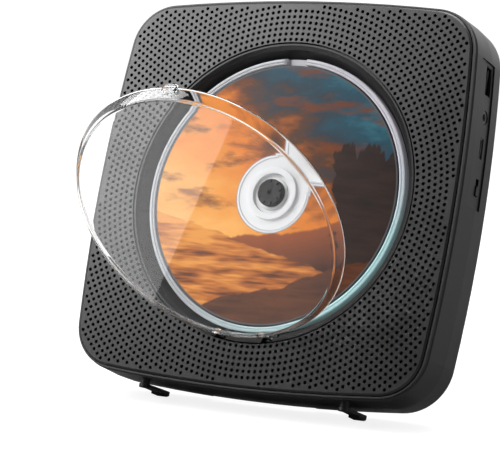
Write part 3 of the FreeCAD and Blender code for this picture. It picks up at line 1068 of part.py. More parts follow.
# Swivel feet: tapering bars that turn on a screw at their front end, with a rubber pad at the back.
FOOT_LOW = f"(0 - {FOOT_TOP} - foot_rear_height)"
PAD_NEAR = "(foot_rear - foot_pad_length)"
FOOT_FALL = "((foot_rear_height - foot_front_height) / (foot_rear - foot_pivot) * foot_pad_length)"
foot_screws = []
for side, x in zip(("right", "left"), both("foot_spacing / 2")):
    across = middle(x, "foot_width")
    bar = wedge(f"bar_{side}", across, ("foot_pivot", "foot_rear"),
                (f"0 - {FOOT_TOP} - foot_front_height", f"0 - {FOOT_TOP}"), (FOOT_LOW, f"0 - {FOOT_TOP}"))
    eye = rod(f"eye_{side}", "Z", (x, "foot_pivot", f"0 - {FOOT_TOP} - foot_front_height"),
              "foot_width / 2", "foot_front_height")
    eye_bore = rod(f"eye_bore_{side}", "Z", (x, "foot_pivot", f"0 - {FOOT_TOP} - foot_front_height"),
                   "screw_radius + hole_play", "foot_front_height")
    eye_sink = rod(f"eye_sink_{side}", "Z", (x, "foot_pivot", f"0 - {FOOT_TOP} - 2 * foot_front_height"),
                   "screw_head_radius", "foot_front_height")
    foot_solid = cut(f"foot_{side}", fuse(f"foot_solid_{side}", [bar, eye]), [eye_bore, eye_sink])
    node(f"swivel_foot_{side}", group(f"foot_placed_{side}", [foot_solid]))
    pad = wedge(f"pad_{side}", across, (PAD_NEAR, "foot_rear"),
                (f"{FOOT_LOW} + {FOOT_FALL} - foot_pad_height", f"{FOOT_LOW} + {FOOT_FALL}"),
                (f"{FOOT_LOW} - foot_pad_height", FOOT_LOW))
    node(f"foot_pad_{side}", cut(f"pad_cut_{side}", pad, [desk(f"desk_{side}")]))
    tip = (x, "foot_pivot", f"0 - {FOOT_TOP} - foot_front_height - hole_play")
    foot_screws.append(screw(f"foot_screw_{side}", "Z", tip, "screw_radius", "foot_screw_length",
                             "screw_head_radius - foot_gap", "screw_head / 4", -1))
node("foot_pivot_screws", group("foot_screw_pair", foot_screws))

# Stand the cabinet on the desk: lean it back about the disc's axis, then centre its box over the origin.
doc.recompute()
lean = FreeCAD.Placement(FreeCAD.Vector(0, 0, axis_height), FreeCAD.Rotation(X_AXIS, -size("lean_angle")))
reach = FreeCAD.BoundBox()
for piece in nodes:
    leaned = piece.Shape.copy()
    leaned.Placement = lean.multiply(leaned.Placement)
    reach.add(leaned.optimalBoundingBox(False))
stand = FreeCAD.Placement(FreeCAD.Vector(0, -reach.Center.y, 0), FreeCAD.Rotation()).multiply(lean)
for piece in nodes:
    piece.Placement = stand
doc.recompute()

for item in doc.Objects:
    if "Invalid" in item.State or "Error" in item.State:
        raise RuntimeError(f"{item.Label} failed: {item.State}")
for piece in nodes:
    if piece.Shape.isNull() or not piece.Shape.isValid() or not piece.Shape.Solids:
        raise RuntimeError(f"{piece.Label} has no valid solid")

os.makedirs("parts", exist_ok=True)
for piece in nodes:
    piece.Shape.exportStep(f"parts/{piece.Label}.step")
print(len(nodes), "pieces, box", [round(value, 3) for value in (reach.XLength, reach.YLength,
                                                                reach.ZLength)])
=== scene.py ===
import json
import math

import bpy
import numpy as np
from mathutils import Matrix, Vector, geometry


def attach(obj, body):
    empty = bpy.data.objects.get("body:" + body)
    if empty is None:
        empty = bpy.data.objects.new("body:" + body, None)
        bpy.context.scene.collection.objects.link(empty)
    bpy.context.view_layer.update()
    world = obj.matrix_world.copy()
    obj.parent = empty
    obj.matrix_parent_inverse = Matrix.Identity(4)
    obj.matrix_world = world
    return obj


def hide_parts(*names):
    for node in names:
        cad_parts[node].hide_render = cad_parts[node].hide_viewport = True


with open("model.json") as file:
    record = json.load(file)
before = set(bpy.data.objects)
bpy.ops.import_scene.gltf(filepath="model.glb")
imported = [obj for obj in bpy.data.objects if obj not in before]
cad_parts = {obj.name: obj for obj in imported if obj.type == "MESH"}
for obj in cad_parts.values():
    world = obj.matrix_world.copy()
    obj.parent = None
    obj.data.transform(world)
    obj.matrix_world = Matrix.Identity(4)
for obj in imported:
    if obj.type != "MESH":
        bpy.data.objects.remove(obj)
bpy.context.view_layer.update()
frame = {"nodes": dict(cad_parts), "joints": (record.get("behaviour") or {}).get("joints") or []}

# Cabinet: a moulded charcoal housing and rear cover, screwed together from behind, in a satin plastic
# with a fine spark-eroded grain. The cabinet leans back, so places on it are given along its own axes:
# X to the right, Y into the face and Z up the face, in millimetres from the disc's axis at the face.
DISC_MIDDLE = 4.9
DRIFT_SCALE, GLOSS_DRIFT = 35.0, 0.04
spin = next(joint for joint in frame["joints"] if joint["name"] == "disc_spin")
depthwise = np.array(spin["axis"])
upward = np.array([0.0, -depthwise[2], depthwise[1]])
face_centre = np.array(spin["pos_m"]) - depthwise * DISC_MIDDLE / 1000


def stand(points):
    """Places along the cabinet's own axes, in millimetres, as metres over the desk."""
    points = np.asarray(points, float) / 1000
    sideways = points[..., :1] * np.array([1.0, 0.0, 0.0])
    return face_centre + sideways + points[..., 1:2] * depthwise + points[..., 2:3] * upward


def new_finish(name, colour, roughness, **sockets):
    """An empty finish: its material, node tree and shader, with the plain values set on the shader."""
    material = bpy.data.materials.new(name)
    material.use_nodes = True
    tree = material.node_tree
    shader = tree.nodes["Principled BSDF"]
    shader.inputs["Base Color"].default_value = (*colour, 1.0)
    shader.inputs["Roughness"].default_value = roughness
    for socket, value in sockets.items():
        shader.inputs[socket.replace("_", " ")].default_value = value
    return material, tree, shader


def speckle(tree, scale, detail=3.0):
    """Noise over the piece's own place, in grains per metre."""
    place = tree.nodes.new("ShaderNodeTexCoord")
    noise = tree.nodes.new("ShaderNodeTexNoise")
    noise.inputs["Scale"].default_value = scale
    noise.inputs["Detail"].default_value = detail
    tree.links.new(place.outputs["Object"], noise.inputs["Vector"])
    return noise.outputs["Fac"]


def shade_between(tree, fac, low, high, start=0.3, end=0.7):
    """A colour that runs from low to high as fac goes from start to end."""
    ramp = tree.nodes.new("ShaderNodeValToRGB")
    ramp.color_ramp.elements[0].position = start
    ramp.color_ramp.elements[0].color = (*low, 1.0)
    ramp.color_ramp.elements[1].position = end
    ramp.color_ramp.elements[1].color = (*high, 1.0)
    tree.links.new(fac, ramp.inputs["Fac"])
    return ramp.outputs["Color"]


def level_between(tree, fac, low, high, start=0.3, end=0.7):
    """A number that runs from low to high as fac goes from start to end."""
    spread = tree.nodes.new("ShaderNodeMapRange")
    for socket, value in (("From Min", start), ("From Max", end), ("To Min", low), ("To Max", high)):
        spread.inputs[socket].default_value = value
    tree.links.new(fac, spread.inputs["Value"])
    return spread.outputs["Result"]


def roughen(tree, shader, fac, depth):
    """A bump of that depth, in metres, on the shader."""
    bump = tree.nodes.new("ShaderNodeBump")
    bump.inputs["Distance"].default_value = depth
    bump.inputs["Strength"].default_value = 1.0
    tree.links.new(fac, bump.inputs["Height"])
    tree.links.new(bump.outputs["Normal"], shader.inputs["Normal"])


def moulded(name, colour, roughness, grain=2600.0, depth=0.00002, spread=0.12, **sockets):
    """Moulded plastic: a fine grain in relief, and slow drifts of tone and gloss."""
    material, tree, shader = new_finish(name, colour, roughness, **sockets)
    drift = speckle(tree, DRIFT_SCALE)
    low = tuple(channel * (1 - spread) for channel in colour)
    high = tuple(channel * (1 + spread) for channel in colour)
    tree.links.new(shade_between(tree, drift, low, high), shader.inputs["Base Color"])
    gloss = level_between(tree, drift, roughness - GLOSS_DRIFT, roughness + GLOSS_DRIFT)
    tree.links.new(gloss, shader.inputs["Roughness"])
    roughen(tree, shader, speckle(tree, grain, 2.0), depth)
    return material


def paint(material, *names):
    """Gives CAD nodes a finish."""
    for name in names:
        mesh = frame["nodes"][name].data
        mesh.materials.clear()
        mesh.materials.append(material)


charcoal = moulded("charcoal_moulding", (0.011, 0.0113, 0.012), 0.42)
paint(charcoal, "housing", "rear_cover", "kickstand", "swivel_foot_left", "swivel_foot_right")

# Grille: a sheet of satin charcoal metal, bevelled round its edge and pierced with rings of round holes
# that follow the disc. It is pressed onto the housing, whose black baffle shows through the holes.
FACE_HALF, CORNER, SIDE_BOW = 88.7, 20.0, 780.0
SHEET, BEVEL, OPENING = 2.2, 0.8, 69.7
HOLE, HOLE_EDGE, RING_STEP, FIRST_RING, LAST_RING, BORDER = 0.74, 0.14, 2.73, 26, 47, 1.95
HOLE_SIDES, ARC_STEPS, OPENING_STEPS = 8, 12, 240


def face_outline(grow, steps):
    """The bowed square: four side arcs and four corner arcs that meet smoothly, all moved out by grow."""
    back = SIDE_BOW - FACE_HALF
    corner_at = (math.sqrt(2 * (SIDE_BOW - CORNER) ** 2 - back ** 2) - back) / 2
    swing = math.atan2(corner_at, corner_at + back)
    share = np.linspace(0, 1, steps, endpoint=False)
    side_angle = -swing + 2 * swing * share
    corner_angle = swing + (math.pi / 2 - 2 * swing) * share
    side = (SIDE_BOW + grow) * np.stack([np.cos(side_angle), np.sin(side_angle)], 1) - (back, 0)
    corner = corner_at + (CORNER + grow) * np.stack([np.cos(corner_angle), np.sin(corner_angle)], 1)
    quarter = np.concatenate([side, corner])
    turns = [np.array([[0, 1], [-1, 0]]), np.array([[-1, 0], [0, -1]]), np.array([[0, -1], [1, 0]])]
    return np.concatenate([quarter] + [quarter @ turn for turn in turns])


def depth_inside(points):
    """How far points of the face lie inside its outline."""
    back = SIDE_BOW - FACE_HALF
    corner_at = (math.sqrt(2 * (SIDE_BOW - CORNER) ** 2 - back ** 2) - back) / 2
    swing = math.atan2(corner_at, corner_at + back)
    x, z = np.abs(points[:, 0]), np.abs(points[:, 1])
    sides = SIDE_BOW - np.maximum(np.hypot(x + back, z), np.hypot(x, z + back))
    turn = np.arctan2(z - corner_at, x - corner_at)
    in_corner = (turn > swing) & (turn < math.pi / 2 - swing)
    return np.where(in_corner, CORNER - np.hypot(x - corner_at, z - corner_at), sides)


def ring_of_holes(number):
    """Hole centres on one ring: six more on each ring than on the last, evenly spaced from straight up."""
    angle = math.pi / 2 + np.arange(6 * number) * 2 * math.pi / (6 * number)
    return RING_STEP * number * np.stack([np.cos(angle), np.sin(angle)], 1)


def circle_of(radius, steps):
    """Points evenly round a circle, from straight across."""
    angle = np.arange(steps) * 2 * math.pi / steps
    return radius * np.stack([np.cos(angle), np.sin(angle)], 1)


def strip(first, second):
    """Quads between two closed loops of vertex numbers; both run round the last axis."""
    return np.stack([first, second, np.roll(second, -1, -1), np.roll(first, -1, -1)], -1).reshape(-1, 4)


def new_piece(name, points, faces, material, body, smooth=False):
    """A mesh piece from places over the desk, riding on a body."""
    mesh = bpy.data.meshes.new(name)
    mesh.from_pydata(np.asarray(points).tolist(), [], [list(map(int, face)) for face in faces])
    mesh.polygons.foreach_set("use_smooth", np.full(len(mesh.polygons), smooth))
    mesh.materials.append(material)
    mesh.update()
    piece = bpy.data.objects.new(name, mesh)
    bpy.context.scene.collection.objects.link(piece)
    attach(piece, body)
    return piece


def pierced_sheet():
    """The sheet as a flat triangulation between its outline, its opening and its holes, set at the front
    and again at the back, with a chamfer and a wall down every hole and walls round both edges."""
    centres = np.concatenate([ring_of_holes(number) for number in range(FIRST_RING, LAST_RING)])
    centres = centres[depth_inside(centres) > BORDER]
    mouths = (centres[:, None, :] + circle_of(HOLE + HOLE_EDGE, HOLE_SIDES)[None]).reshape(-1, 2)
    holes = (centres[:, None, :] + circle_of(HOLE, HOLE_SIDES)[None]).reshape(-1, 2)
    opening = circle_of(OPENING, OPENING_STEPS)
    rim = face_outline(-BEVEL, ARC_STEPS)
    flat = np.concatenate([mouths, opening, rim])
    loop = np.concatenate([
        np.repeat(np.arange(len(centres)), HOLE_SIDES),
        np.full(len(opening), -1),
        np.full(len(rim), -2),
    ])
    hole_rows = np.arange(len(holes)).reshape(-1, HOLE_SIDES)
    opening_row = len(holes) + np.arange(len(opening))
    rim_row = len(holes) + len(opening) + np.arange(len(rim))
    rows = [hole_rows, opening_row[None], rim_row[None]]
    edges = np.concatenate([np.stack([row, np.roll(row, -1, -1)], -1).reshape(-1, 2) for row in rows])
    found = geometry.delaunay_2d_cdt([Vector(point) for point in flat], edges.tolist(), [], 0, 1e-6)
    triangles = np.array(found[2])
    same = (loop[triangles] == loop[triangles][:, :1]).all(1) & (loop[triangles][:, 0] > -2)
    triangles = triangles[~same]
    count = len(flat)
    front = np.stack([flat[:, 0], np.zeros(count), flat[:, 1]], 1)
    edge = face_outline(0.0, ARC_STEPS)
    shoulder = np.stack([edge[:, 0], np.full(len(edge), BEVEL), edge[:, 1]], 1)
    back_flat = np.concatenate([holes, opening, edge])
    back = np.stack([back_flat[:, 0], np.full(count, SHEET), back_flat[:, 1]], 1)
    throat = np.stack([holes[:, 0], np.full(len(holes), HOLE_EDGE), holes[:, 1]], 1)
    shoulder_row = count + np.arange(len(edge))
    throat_rows = count + len(edge) + hole_rows
    behind = count + len(edge) + len(holes)
    walls = [strip(hole_rows, throat_rows), strip(throat_rows, hole_rows + behind),
             strip(opening_row, opening_row + behind),
             strip(rim_row, shoulder_row)[:, ::-1], strip(shoulder_row, rim_row + behind)[:, ::-1]]
    faces = list(triangles) + list(triangles[:, ::-1] + behind) + list(np.concatenate(walls))
    return np.concatenate([front, shoulder, throat, back]), faces


painted_sheet = moulded("satin_charcoal_sheet", (0.006, 0.0061, 0.0065), 0.33, grain=4200.0, depth=0.000008)
sheet_points, sheet_faces = pierced_sheet()
grille = new_piece("grille_sheet", stand(sheet_points), sheet_faces, painted_sheet, "cabinet")
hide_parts("front_grille")

# Disc well: a satin black moulding with a bevelled bezel, screwed to the baffle from behind, and the
# pickup mechanism that hangs under its floor.
black = moulded("satin_black_moulding", (0.005, 0.005, 0.0053), 0.34, Specular_IOR_Level=0.35)
paint(black, "disc_well", "mechanism_chassis", "pickup_sled", "tact_switches", "board_chips")

# Clear ring: a polished, milky light-guide moulding round the disc with a groove along its front and a
# finger notch at the top. A painted reflection tints its colour cyan towards the lower right and lilac
# towards the upper right, and it gives out that colour faintly as a painted glow. It stands on the floor of
# the well.
RING_PROFILE = ((60.6, 9.0), (60.6, 4.3), (61.5, 4.3), (61.75, 4.9), (62.0, 4.3), (63.4, 4.3), (63.4, 9.0))
RING_ROUNDS = (0.0, 0.35, 0.15, 0.1, 0.15, 0.5, 0.0)
RING_MIDDLE, NOTCH_HALF, NOTCH_FLOOR = 62.0, 4.9, 6.5
DISC_RADIUS = 60.0
RING_STEPS, NOTCH_STEPS = 200, 10


def rounded(corners, radii, steps=5):
    """A line through corners, each turned by an arc of its radius that touches both of its sides."""
    corners = np.array(corners, float)
    line = [corners[:1]]
    for before, corner, after, radius in zip(corners, corners[1:], corners[2:], radii[1:]):
        back = (before - corner) / np.hypot(*(before - corner))
        ahead = (after - corner) / np.hypot(*(after - corner))
        half = math.acos(np.clip(back @ ahead, -1, 1)) / 2
        middle = corner + (back + ahead) / np.hypot(*(back + ahead)) * radius / math.sin(half)
        first = corner + back * radius / math.tan(half) - middle
        last = corner + ahead * radius / math.tan(half) - middle
        share = np.linspace(0, 1, steps)[:, None]
        span = math.pi - 2 * half
        arc = np.sin((1 - share) * span) * first + np.sin(share * span) * last
        line.append(middle + arc / math.sin(span))
    return np.concatenate(line + [corners[-1:]])


def turned(profile, angle):
    """A surface of revolution: each (radius, depth) of a profile carried round the disc's axis by angles."""
    radius, depth = profile[:, :1], profile[:, 1:]
    return np.stack([radius * np.cos(angle), depth + 0 * angle, radius * np.sin(angle)], -1)


def rows_of(points):
    """Vertex numbers of a grid of points, one row for each of its first index."""
    return np.arange(points.shape[0] * points.shape[1]).reshape(points.shape[:2])


def face_place(tree):
    """Across and up the disc from its axis, in disc radii, at the piece's own place."""
    lean = math.atan2(-depthwise[2], depthwise[1])
    radii_a_metre = 1000 / DISC_RADIUS
    centre = radii_a_metre * face_centre
    place = tree.nodes.new("ShaderNodeTexCoord")
    level = tree.nodes.new("ShaderNodeMapping")
    level.inputs["Scale"].default_value = (radii_a_metre,) * 3
    level.inputs["Rotation"].default_value = (lean, 0.0, 0.0)
    level.inputs["Location"].default_value = (-centre[0], -centre @ depthwise, -centre @ upward)
    split = tree.nodes.new("ShaderNodeSeparateXYZ")
    tree.links.new(place.outputs["Object"], level.inputs["Vector"])
    tree.links.new(level.outputs["Vector"], split.inputs["Vector"])
    return split.outputs["X"], split.outputs["Z"]


def calc(tree, operation, *values):
    """One step of arithmetic on numbers and sockets."""
    step = tree.nodes.new("ShaderNodeMath")
    step.operation = operation
    for socket, value in zip(step.inputs, values):
        if isinstance(value, (int, float)):
            socket.default_value = value
        else:
            tree.links.new(value, socket)
    return step.outputs["Value"]


def weigh(tree, *terms):
    """The sum of (factor, socket) terms."""
    total = 0.0
    for factor, socket in terms:
        total = calc(tree, "MULTIPLY_ADD", socket, factor, total)
    return total


def blend(tree, fac, low, high):
    """A colour that goes from low to high with fac; either may be a socket."""
    mix = tree.nodes.new("ShaderNodeMix")
    mix.data_type = "RGBA"
    tree.links.new(fac, mix.inputs[0])
    for socket, colour in ((mix.inputs[6], low), (mix.inputs[7], high)):
        if isinstance(colour, tuple):
            socket.default_value = (*colour, 1.0)
        else:
            tree.links.new(colour, socket)
    return mix.outputs[2]


ring_finish, ring_tree, ring_shader = new_finish("milky_light_guide", (0.8, 0.82, 0.84), 0.14, IOR=1.49,
                                                 Transmission_Weight=0.3, Emission_Strength=0.1)
ring_across, ring_up = face_place(ring_tree)
# painted reflection: the colour runs to cyan towards the lower right and to lilac towards the upper right
to_low_right = weigh(ring_tree, (0.8, ring_across), (-0.6, ring_up))
to_high_right = weigh(ring_tree, (0.75, ring_across), (0.65, ring_up))
low_right = level_between(ring_tree, to_low_right, 0.0, 1.0, 0.1, 1.0)
high_right = level_between(ring_tree, to_high_right, 0.0, 1.0, 0.6, 1.05)
ring_colour_with_painted_reflection = blend(ring_tree, low_right, (0.55, 0.56, 0.59), (0.54, 0.8, 0.81))
ring_colour_with_painted_reflection = blend(ring_tree, high_right, ring_colour_with_painted_reflection, (0.72, 0.69, 0.76))
ring_tree.links.new(ring_colour_with_painted_reflection, ring_shader.inputs["Base Color"])
# painted glow: the ring gives out its own painted colour faintly as light
ring_tree.links.new(ring_colour_with_painted_reflection, ring_shader.inputs["Emission Color"])
roughen(ring_tree, ring_shader, speckle(ring_tree, 600.0), 0.000004)
notch_turn = math.asin(NOTCH_HALF / RING_MIDDLE)
ring_angle = np.concatenate([
    np.linspace(math.pi / 2 + notch_turn, 5 * math.pi / 2 - notch_turn, RING_STEPS),
    np.linspace(math.pi / 2 - notch_turn, math.pi / 2 + notch_turn, NOTCH_STEPS),
])
ring_points = turned(rounded(RING_PROFILE, RING_ROUNDS), ring_angle)
ring_points[:, RING_STEPS:, 1] = np.maximum(ring_points[:, RING_STEPS:, 1], NOTCH_FLOOR)
ring_rows = rows_of(ring_points)
ring_faces = strip(ring_rows, np.roll(ring_rows, -1, 0))
ring_places = stand(ring_points.reshape(-1, 3))
ring = new_piece("light_ring_moulding", ring_places, ring_faces, ring_finish, "cabinet", True)
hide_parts("light_ring")

# Lid: a polished clear dish with a slanting skirt, rounded edges, two hinge ears and a small grip tab, in
# one moulding. It turns on two steel pins beside the well and stands open.
LID_ANGLE, HINGE_DEPTH, HINGE_UP = math.radians(48.8), 2.5, -66.3
LID_PROFILE = ((57.0, -5.8), (60.0, -5.8), (63.4, 0.0), (61.6, 0.0), (59.37, -3.8), (56.5, -3.8))
LID_ROUNDS = (0.0, 0.9, 0.45, 0.45, 0.7, 0.0)
EAR_AT, EAR_HALF, EAR_TILT, EAR_LENGTH, EAR_THICK = 11.5, 2.3, math.radians(30.8), 6.4, 0.9
KNUCKLE, BORE = 1.7, 0.85
TAB_MIDDLE, TAB_HALF = (0.0, -1.6, 63.35), (3.1, 2.2, 0.85)
LID_STEPS, EAR_STEPS = 200, 48


def ear(across):
    """A hinge ear along X: the outline of a knuckle and its arm, as a radius about the pin, and the bore."""
    angle = np.arange(EAR_STEPS) * 2 * math.pi / EAR_STEPS
    arm = np.minimum(EAR_THICK / np.maximum(np.abs(np.sin(angle)), 1e-6),
                     EAR_LENGTH / np.maximum(np.cos(angle), 1e-6))
    outer = np.maximum(np.where(np.cos(angle) > 0, arm, 0.0), KNUCKLE)
    radius = np.stack([outer, outer, np.full(EAR_STEPS, BORE), np.full(EAR_STEPS, BORE)])
    x = np.array([-EAR_HALF, EAR_HALF, EAR_HALF, -EAR_HALF])[:, None] + across + 0 * angle
    return np.stack([x, HINGE_DEPTH - radius * np.sin(EAR_TILT + angle),
                     HINGE_UP + radius * np.cos(EAR_TILT + angle)], -1)


def soft_block(centre, half, steps=24, sharpness=0.22, pole=0.02):
    """A block with rounded edges: a superquadric over longitude and latitude."""
    turn = np.linspace(-math.pi, math.pi, steps, endpoint=False)[None]
    rise = np.linspace(-math.pi / 2 + pole, math.pi / 2 - pole, steps // 2)[:, None]

    def bend(value):
        return np.sign(value) * np.abs(value) ** sharpness

    unit = np.stack([bend(np.cos(rise)) * bend(np.cos(turn)), bend(np.cos(rise)) * bend(np.sin(turn)),
                     bend(np.sin(rise)) + 0 * turn], -1)
    return np.array(centre) + unit * np.array(half)


def opened(points):
    """Places of the closed lid after it has turned about its hinge."""
    y, z = points[..., 1] - HINGE_DEPTH, points[..., 2] - HINGE_UP
    return np.stack([points[..., 0], HINGE_DEPTH + y * math.cos(LID_ANGLE) - z * math.sin(LID_ANGLE),
                     HINGE_UP + y * math.sin(LID_ANGLE) + z * math.cos(LID_ANGLE)], -1)


lid_angle = np.arange(LID_STEPS) * 2 * math.pi / LID_STEPS
dish = turned(rounded(LID_PROFILE, LID_ROUNDS), lid_angle)
dish_rows = rows_of(dish)
lid_parts, lid_faces = [dish.reshape(-1, 3)], list(strip(dish_rows[:-1], dish_rows[1:]))
lid_faces += [dish_rows[0], dish_rows[-1][::-1]]
for across in (-EAR_AT, EAR_AT):
    loops = ear(across)
    ear_rows = rows_of(loops) + sum(map(len, lid_parts))
    lid_parts.append(loops.reshape(-1, 3))
    lid_faces += list(strip(ear_rows, np.roll(ear_rows, -1, 0)))
tab = soft_block(TAB_MIDDLE, TAB_HALF)
tab_rows = rows_of(tab) + sum(map(len, lid_parts))
lid_parts.append(tab.reshape(-1, 3))
lid_faces += list(strip(tab_rows[:-1], tab_rows[1:])[:, ::-1]) + [tab_rows[0][::-1], tab_rows[-1]]
clear, clear_tree, clear_shader = new_finish("polished_clear_moulding", (0.985, 0.99, 0.99), 0.015, IOR=1.46,
                                             Transmission_Weight=1.0)
clear_polish = level_between(clear_tree, speckle(clear_tree, 40.0), 0.01, 0.03)
clear_tree.links.new(clear_polish, clear_shader.inputs["Roughness"])
lid_points = stand(opened(np.concatenate(lid_parts)))
lid = new_piece("clear_lid", lid_points, lid_faces, clear, "lid", True)
lid.visible_shadow = False  # clear plastic lets the light through to the disc behind it
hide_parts("lid")

# Turntable: a white moulded hub on a steel spindle, which carries the disc under a round grey cap. The cap
# has a blind hole in its middle and short slots through its rim, between the sprung fingers under it.
CAP_PROFILE = ((1.1, 2.4), (1.1, 1.0), (4.55, 1.0), (4.65, 1.0), (5.7, 1.0), (6.25, 1.5), (6.25, 1.8),
               (6.25, 3.9))
SLOT_ROWS, SLOT_FLOOR, SLOTS = slice(3, 6), 1.8, 9
SLOT_COLUMNS, SLOT_DEGREES = slice(1, 3), (-4.6, -4.2, 4.2, 4.6, 12.4, 20.0, 27.6)
white = moulded("white_hub_moulding", (0.78, 0.78, 0.77), 0.35, spread=0.03)
paint(white, "turntable_hub")
cap_grey = moulded("grey_cap_moulding", (0.014, 0.014, 0.014), 0.55, Specular_IOR_Level=0.25)
slot_turn = np.arange(SLOTS)[:, None] * 2 * math.pi / SLOTS
cap_angle = math.pi / 2 + (slot_turn + np.radians(SLOT_DEGREES)).reshape(-1)
cap_points = turned(np.array(CAP_PROFILE), cap_angle).reshape(len(CAP_PROFILE), SLOTS, -1, 3)
cap_points[SLOT_ROWS, :, SLOT_COLUMNS, 1] = SLOT_FLOOR
cap_rows = np.arange(cap_points[..., 0].size).reshape(len(CAP_PROFILE), -1)
cap_faces = list(strip(cap_rows[:-1], cap_rows[1:])) + [cap_rows[0], cap_rows[-1][::-1]]
cap = new_piece("slotted_cap", stand(cap_points.reshape(-1, 3)), cap_faces, cap_grey, "turntable")
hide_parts("spindle_cap")

# Disc: a pressed polycarbonate disc with a raised clamping ring and a stacking ring round its hole, and a
# lacquered print of dunes and rock towers at dusk. It lies on the hub and turns with it.
DISC_PROFILE = ((7.5, 5.5), (7.5, 4.3), (9.1, 4.3), (9.2, 2.9), (12.0, 2.9), (12.2, 4.3), (16.7, 4.3),
                (16.85, 4.1), (17.25, 4.1), (17.4, 4.3), (60.0, 4.3), (60.0, 5.5))
DISC_ROUNDS = (0.0, 0.15, 0.1, 0.15, 0.2, 0.12, 0.05, 0.06, 0.06, 0.05, 0.25, 0.0)
DISC_STEPS = 240
PRINT_START, PRINT_END = 18.3 / DISC_RADIUS, 59.2 / DISC_RADIUS
LINE_SOFT, DUNE_SOFT, EDGE_SOFT = 0.008, 0.006, 0.002


def cloud(tree, across, up, stretch, seed, detail=6.0):
    """Noise drawn out sideways over the disc."""
    place = tree.nodes.new("ShaderNodeCombineXYZ")
    tree.links.new(calc(tree, "MULTIPLY", across, stretch[0]), place.inputs["X"])
    tree.links.new(calc(tree, "MULTIPLY", up, stretch[1]), place.inputs["Y"])
    place.inputs["Z"].default_value = seed
    noise = tree.nodes.new("ShaderNodeTexNoise")
    noise.inputs["Scale"].default_value = 1.0
    noise.inputs["Detail"].default_value = detail
    noise.inputs["Roughness"].default_value = 0.58
    tree.links.new(place.outputs["Vector"], noise.inputs["Vector"])
    return noise.outputs["Fac"]


def colours_along(tree, fac, stops):
    """A colour ramp through (position, colour) stops."""
    ramp = tree.nodes.new("ShaderNodeValToRGB")
    elements = ramp.color_ramp.elements
    while len(elements) < len(stops):
        elements.new(1.0)
    for element, (position, colour) in zip(elements, stops):
        element.position = position
        element.color = (*colour, 1.0)
    tree.links.new(fac, ramp.inputs["Fac"])
    return ramp.outputs["Color"]


def above(tree, socket, line, softness):
    """1 where the socket is above the line, 0 below, with a soft edge."""
    return level_between(tree, calc(tree, "SUBTRACT", socket, line), 0.0, 1.0, -softness, softness)


print_finish, print_tree, print_shader = new_finish("dusk_print", (0.8, 0.4, 0.1), 0.5,
                                                    Specular_IOR_Level=0.15)
across, up = face_place(print_tree)
reach = calc(print_tree, "SQRT", weigh(print_tree, (1.0, calc(print_tree, "MULTIPLY", across, across)),
                                       (1.0, calc(print_tree, "MULTIPLY", up, up))))
billows = cloud(print_tree, across, up, (2.2, 4.6), 3.0)
wisps = cloud(print_tree, across, up, (3.0, 9.0), 8.0)
# sky: orange low on the left, teal high on the right, broken by dark patches
sky_level = weigh(print_tree, (0.34, across), (0.46, up), (0.62, billows), (0.12, wisps))
sky = colours_along(print_tree, sky_level, (
    (0.0, (0.86, 0.42, 0.11)), (0.22, (0.8, 0.31, 0.05)), (0.42, (0.72, 0.2, 0.018)),
    (0.52, (0.33, 0.09, 0.018)), (0.6, (0.1, 0.042, 0.022)), (0.72, (0.03, 0.045, 0.06)),
    (0.86, (0.02, 0.075, 0.11)), (1.0, (0.04, 0.17, 0.22))))
patches = level_between(print_tree, cloud(print_tree, across, up, (2.0, 6.5), 21.0), 0.0, 0.85, 0.52, 0.64)
sky = blend(print_tree, patches, sky, (0.16, 0.045, 0.015))
# far ridge in haze, and the rock towers that stand before it on the right
far_line = weigh(print_tree, (0.16, across), (0.22, cloud(print_tree, across, 0.0, (2.6, 1.0), 5.0)))
far = above(print_tree, up, calc(print_tree, "SUBTRACT", far_line, 0.42), LINE_SOFT)
haze = level_between(print_tree, calc(print_tree, "SUBTRACT", up, far_line), 0.0, 1.0, -0.75, -0.42)
scene_colour = blend(print_tree, far, blend(print_tree, haze, (0.05, 0.016, 0.01), (0.3, 0.075, 0.02)), sky)
tower_side = weigh(print_tree, (0.20, cloud(print_tree, 0.0, up, (1.0, 5.0), 12.0)), (-0.16, up))
tower_top = calc(print_tree, "ADD", cloud(print_tree, across, 0.0, (6.0, 1.0), 2.0), -0.14)
tower = calc(print_tree, "MULTIPLY",
             above(print_tree, across, calc(print_tree, "ADD", tower_side, 0.40), LINE_SOFT),
             above(print_tree, tower_top, up, LINE_SOFT))
layers = cloud(print_tree, across, up, (3.0, 14.0), 30.0)
rock = blend(print_tree, layers, (0.006, 0.009, 0.012), (0.06, 0.03, 0.02))
scene_colour = blend(print_tree, tower, scene_colour, rock)
# rippled dunes: a lit one across the middle and a shaded one along the bottom
ripples = cloud(print_tree, across, up, (2.6, 17.0), 40.0, 2.0)
sand = colours_along(print_tree, weigh(print_tree, (1.1, ripples), (-0.12, across), (0.14, up)), (
    (0.12, (0.03, 0.012, 0.008)), (0.32, (0.13, 0.036, 0.01)), (0.48, (0.45, 0.13, 0.02)),
    (0.68, (0.75, 0.3, 0.055))))
dune_line = weigh(print_tree, (-0.26, across), (0.2, cloud(print_tree, across, 0.0, (1.7, 1.0), 17.0)))
dune = above(print_tree, up, calc(print_tree, "SUBTRACT", dune_line, 0.53), DUNE_SOFT)
scene_colour = blend(print_tree, dune, sand, scene_colour)
near_line = weigh(print_tree, (0.34, across), (0.24, cloud(print_tree, across, 0.0, (2.0, 1.0), 28.0)))
near = above(print_tree, up, calc(print_tree, "SUBTRACT", near_line, 0.86), DUNE_SOFT)
shadow_sand = blend(print_tree, ripples, (0.008, 0.006, 0.007), (0.2, 0.06, 0.018))
scene_colour = blend(print_tree, near, shadow_sand, scene_colour)
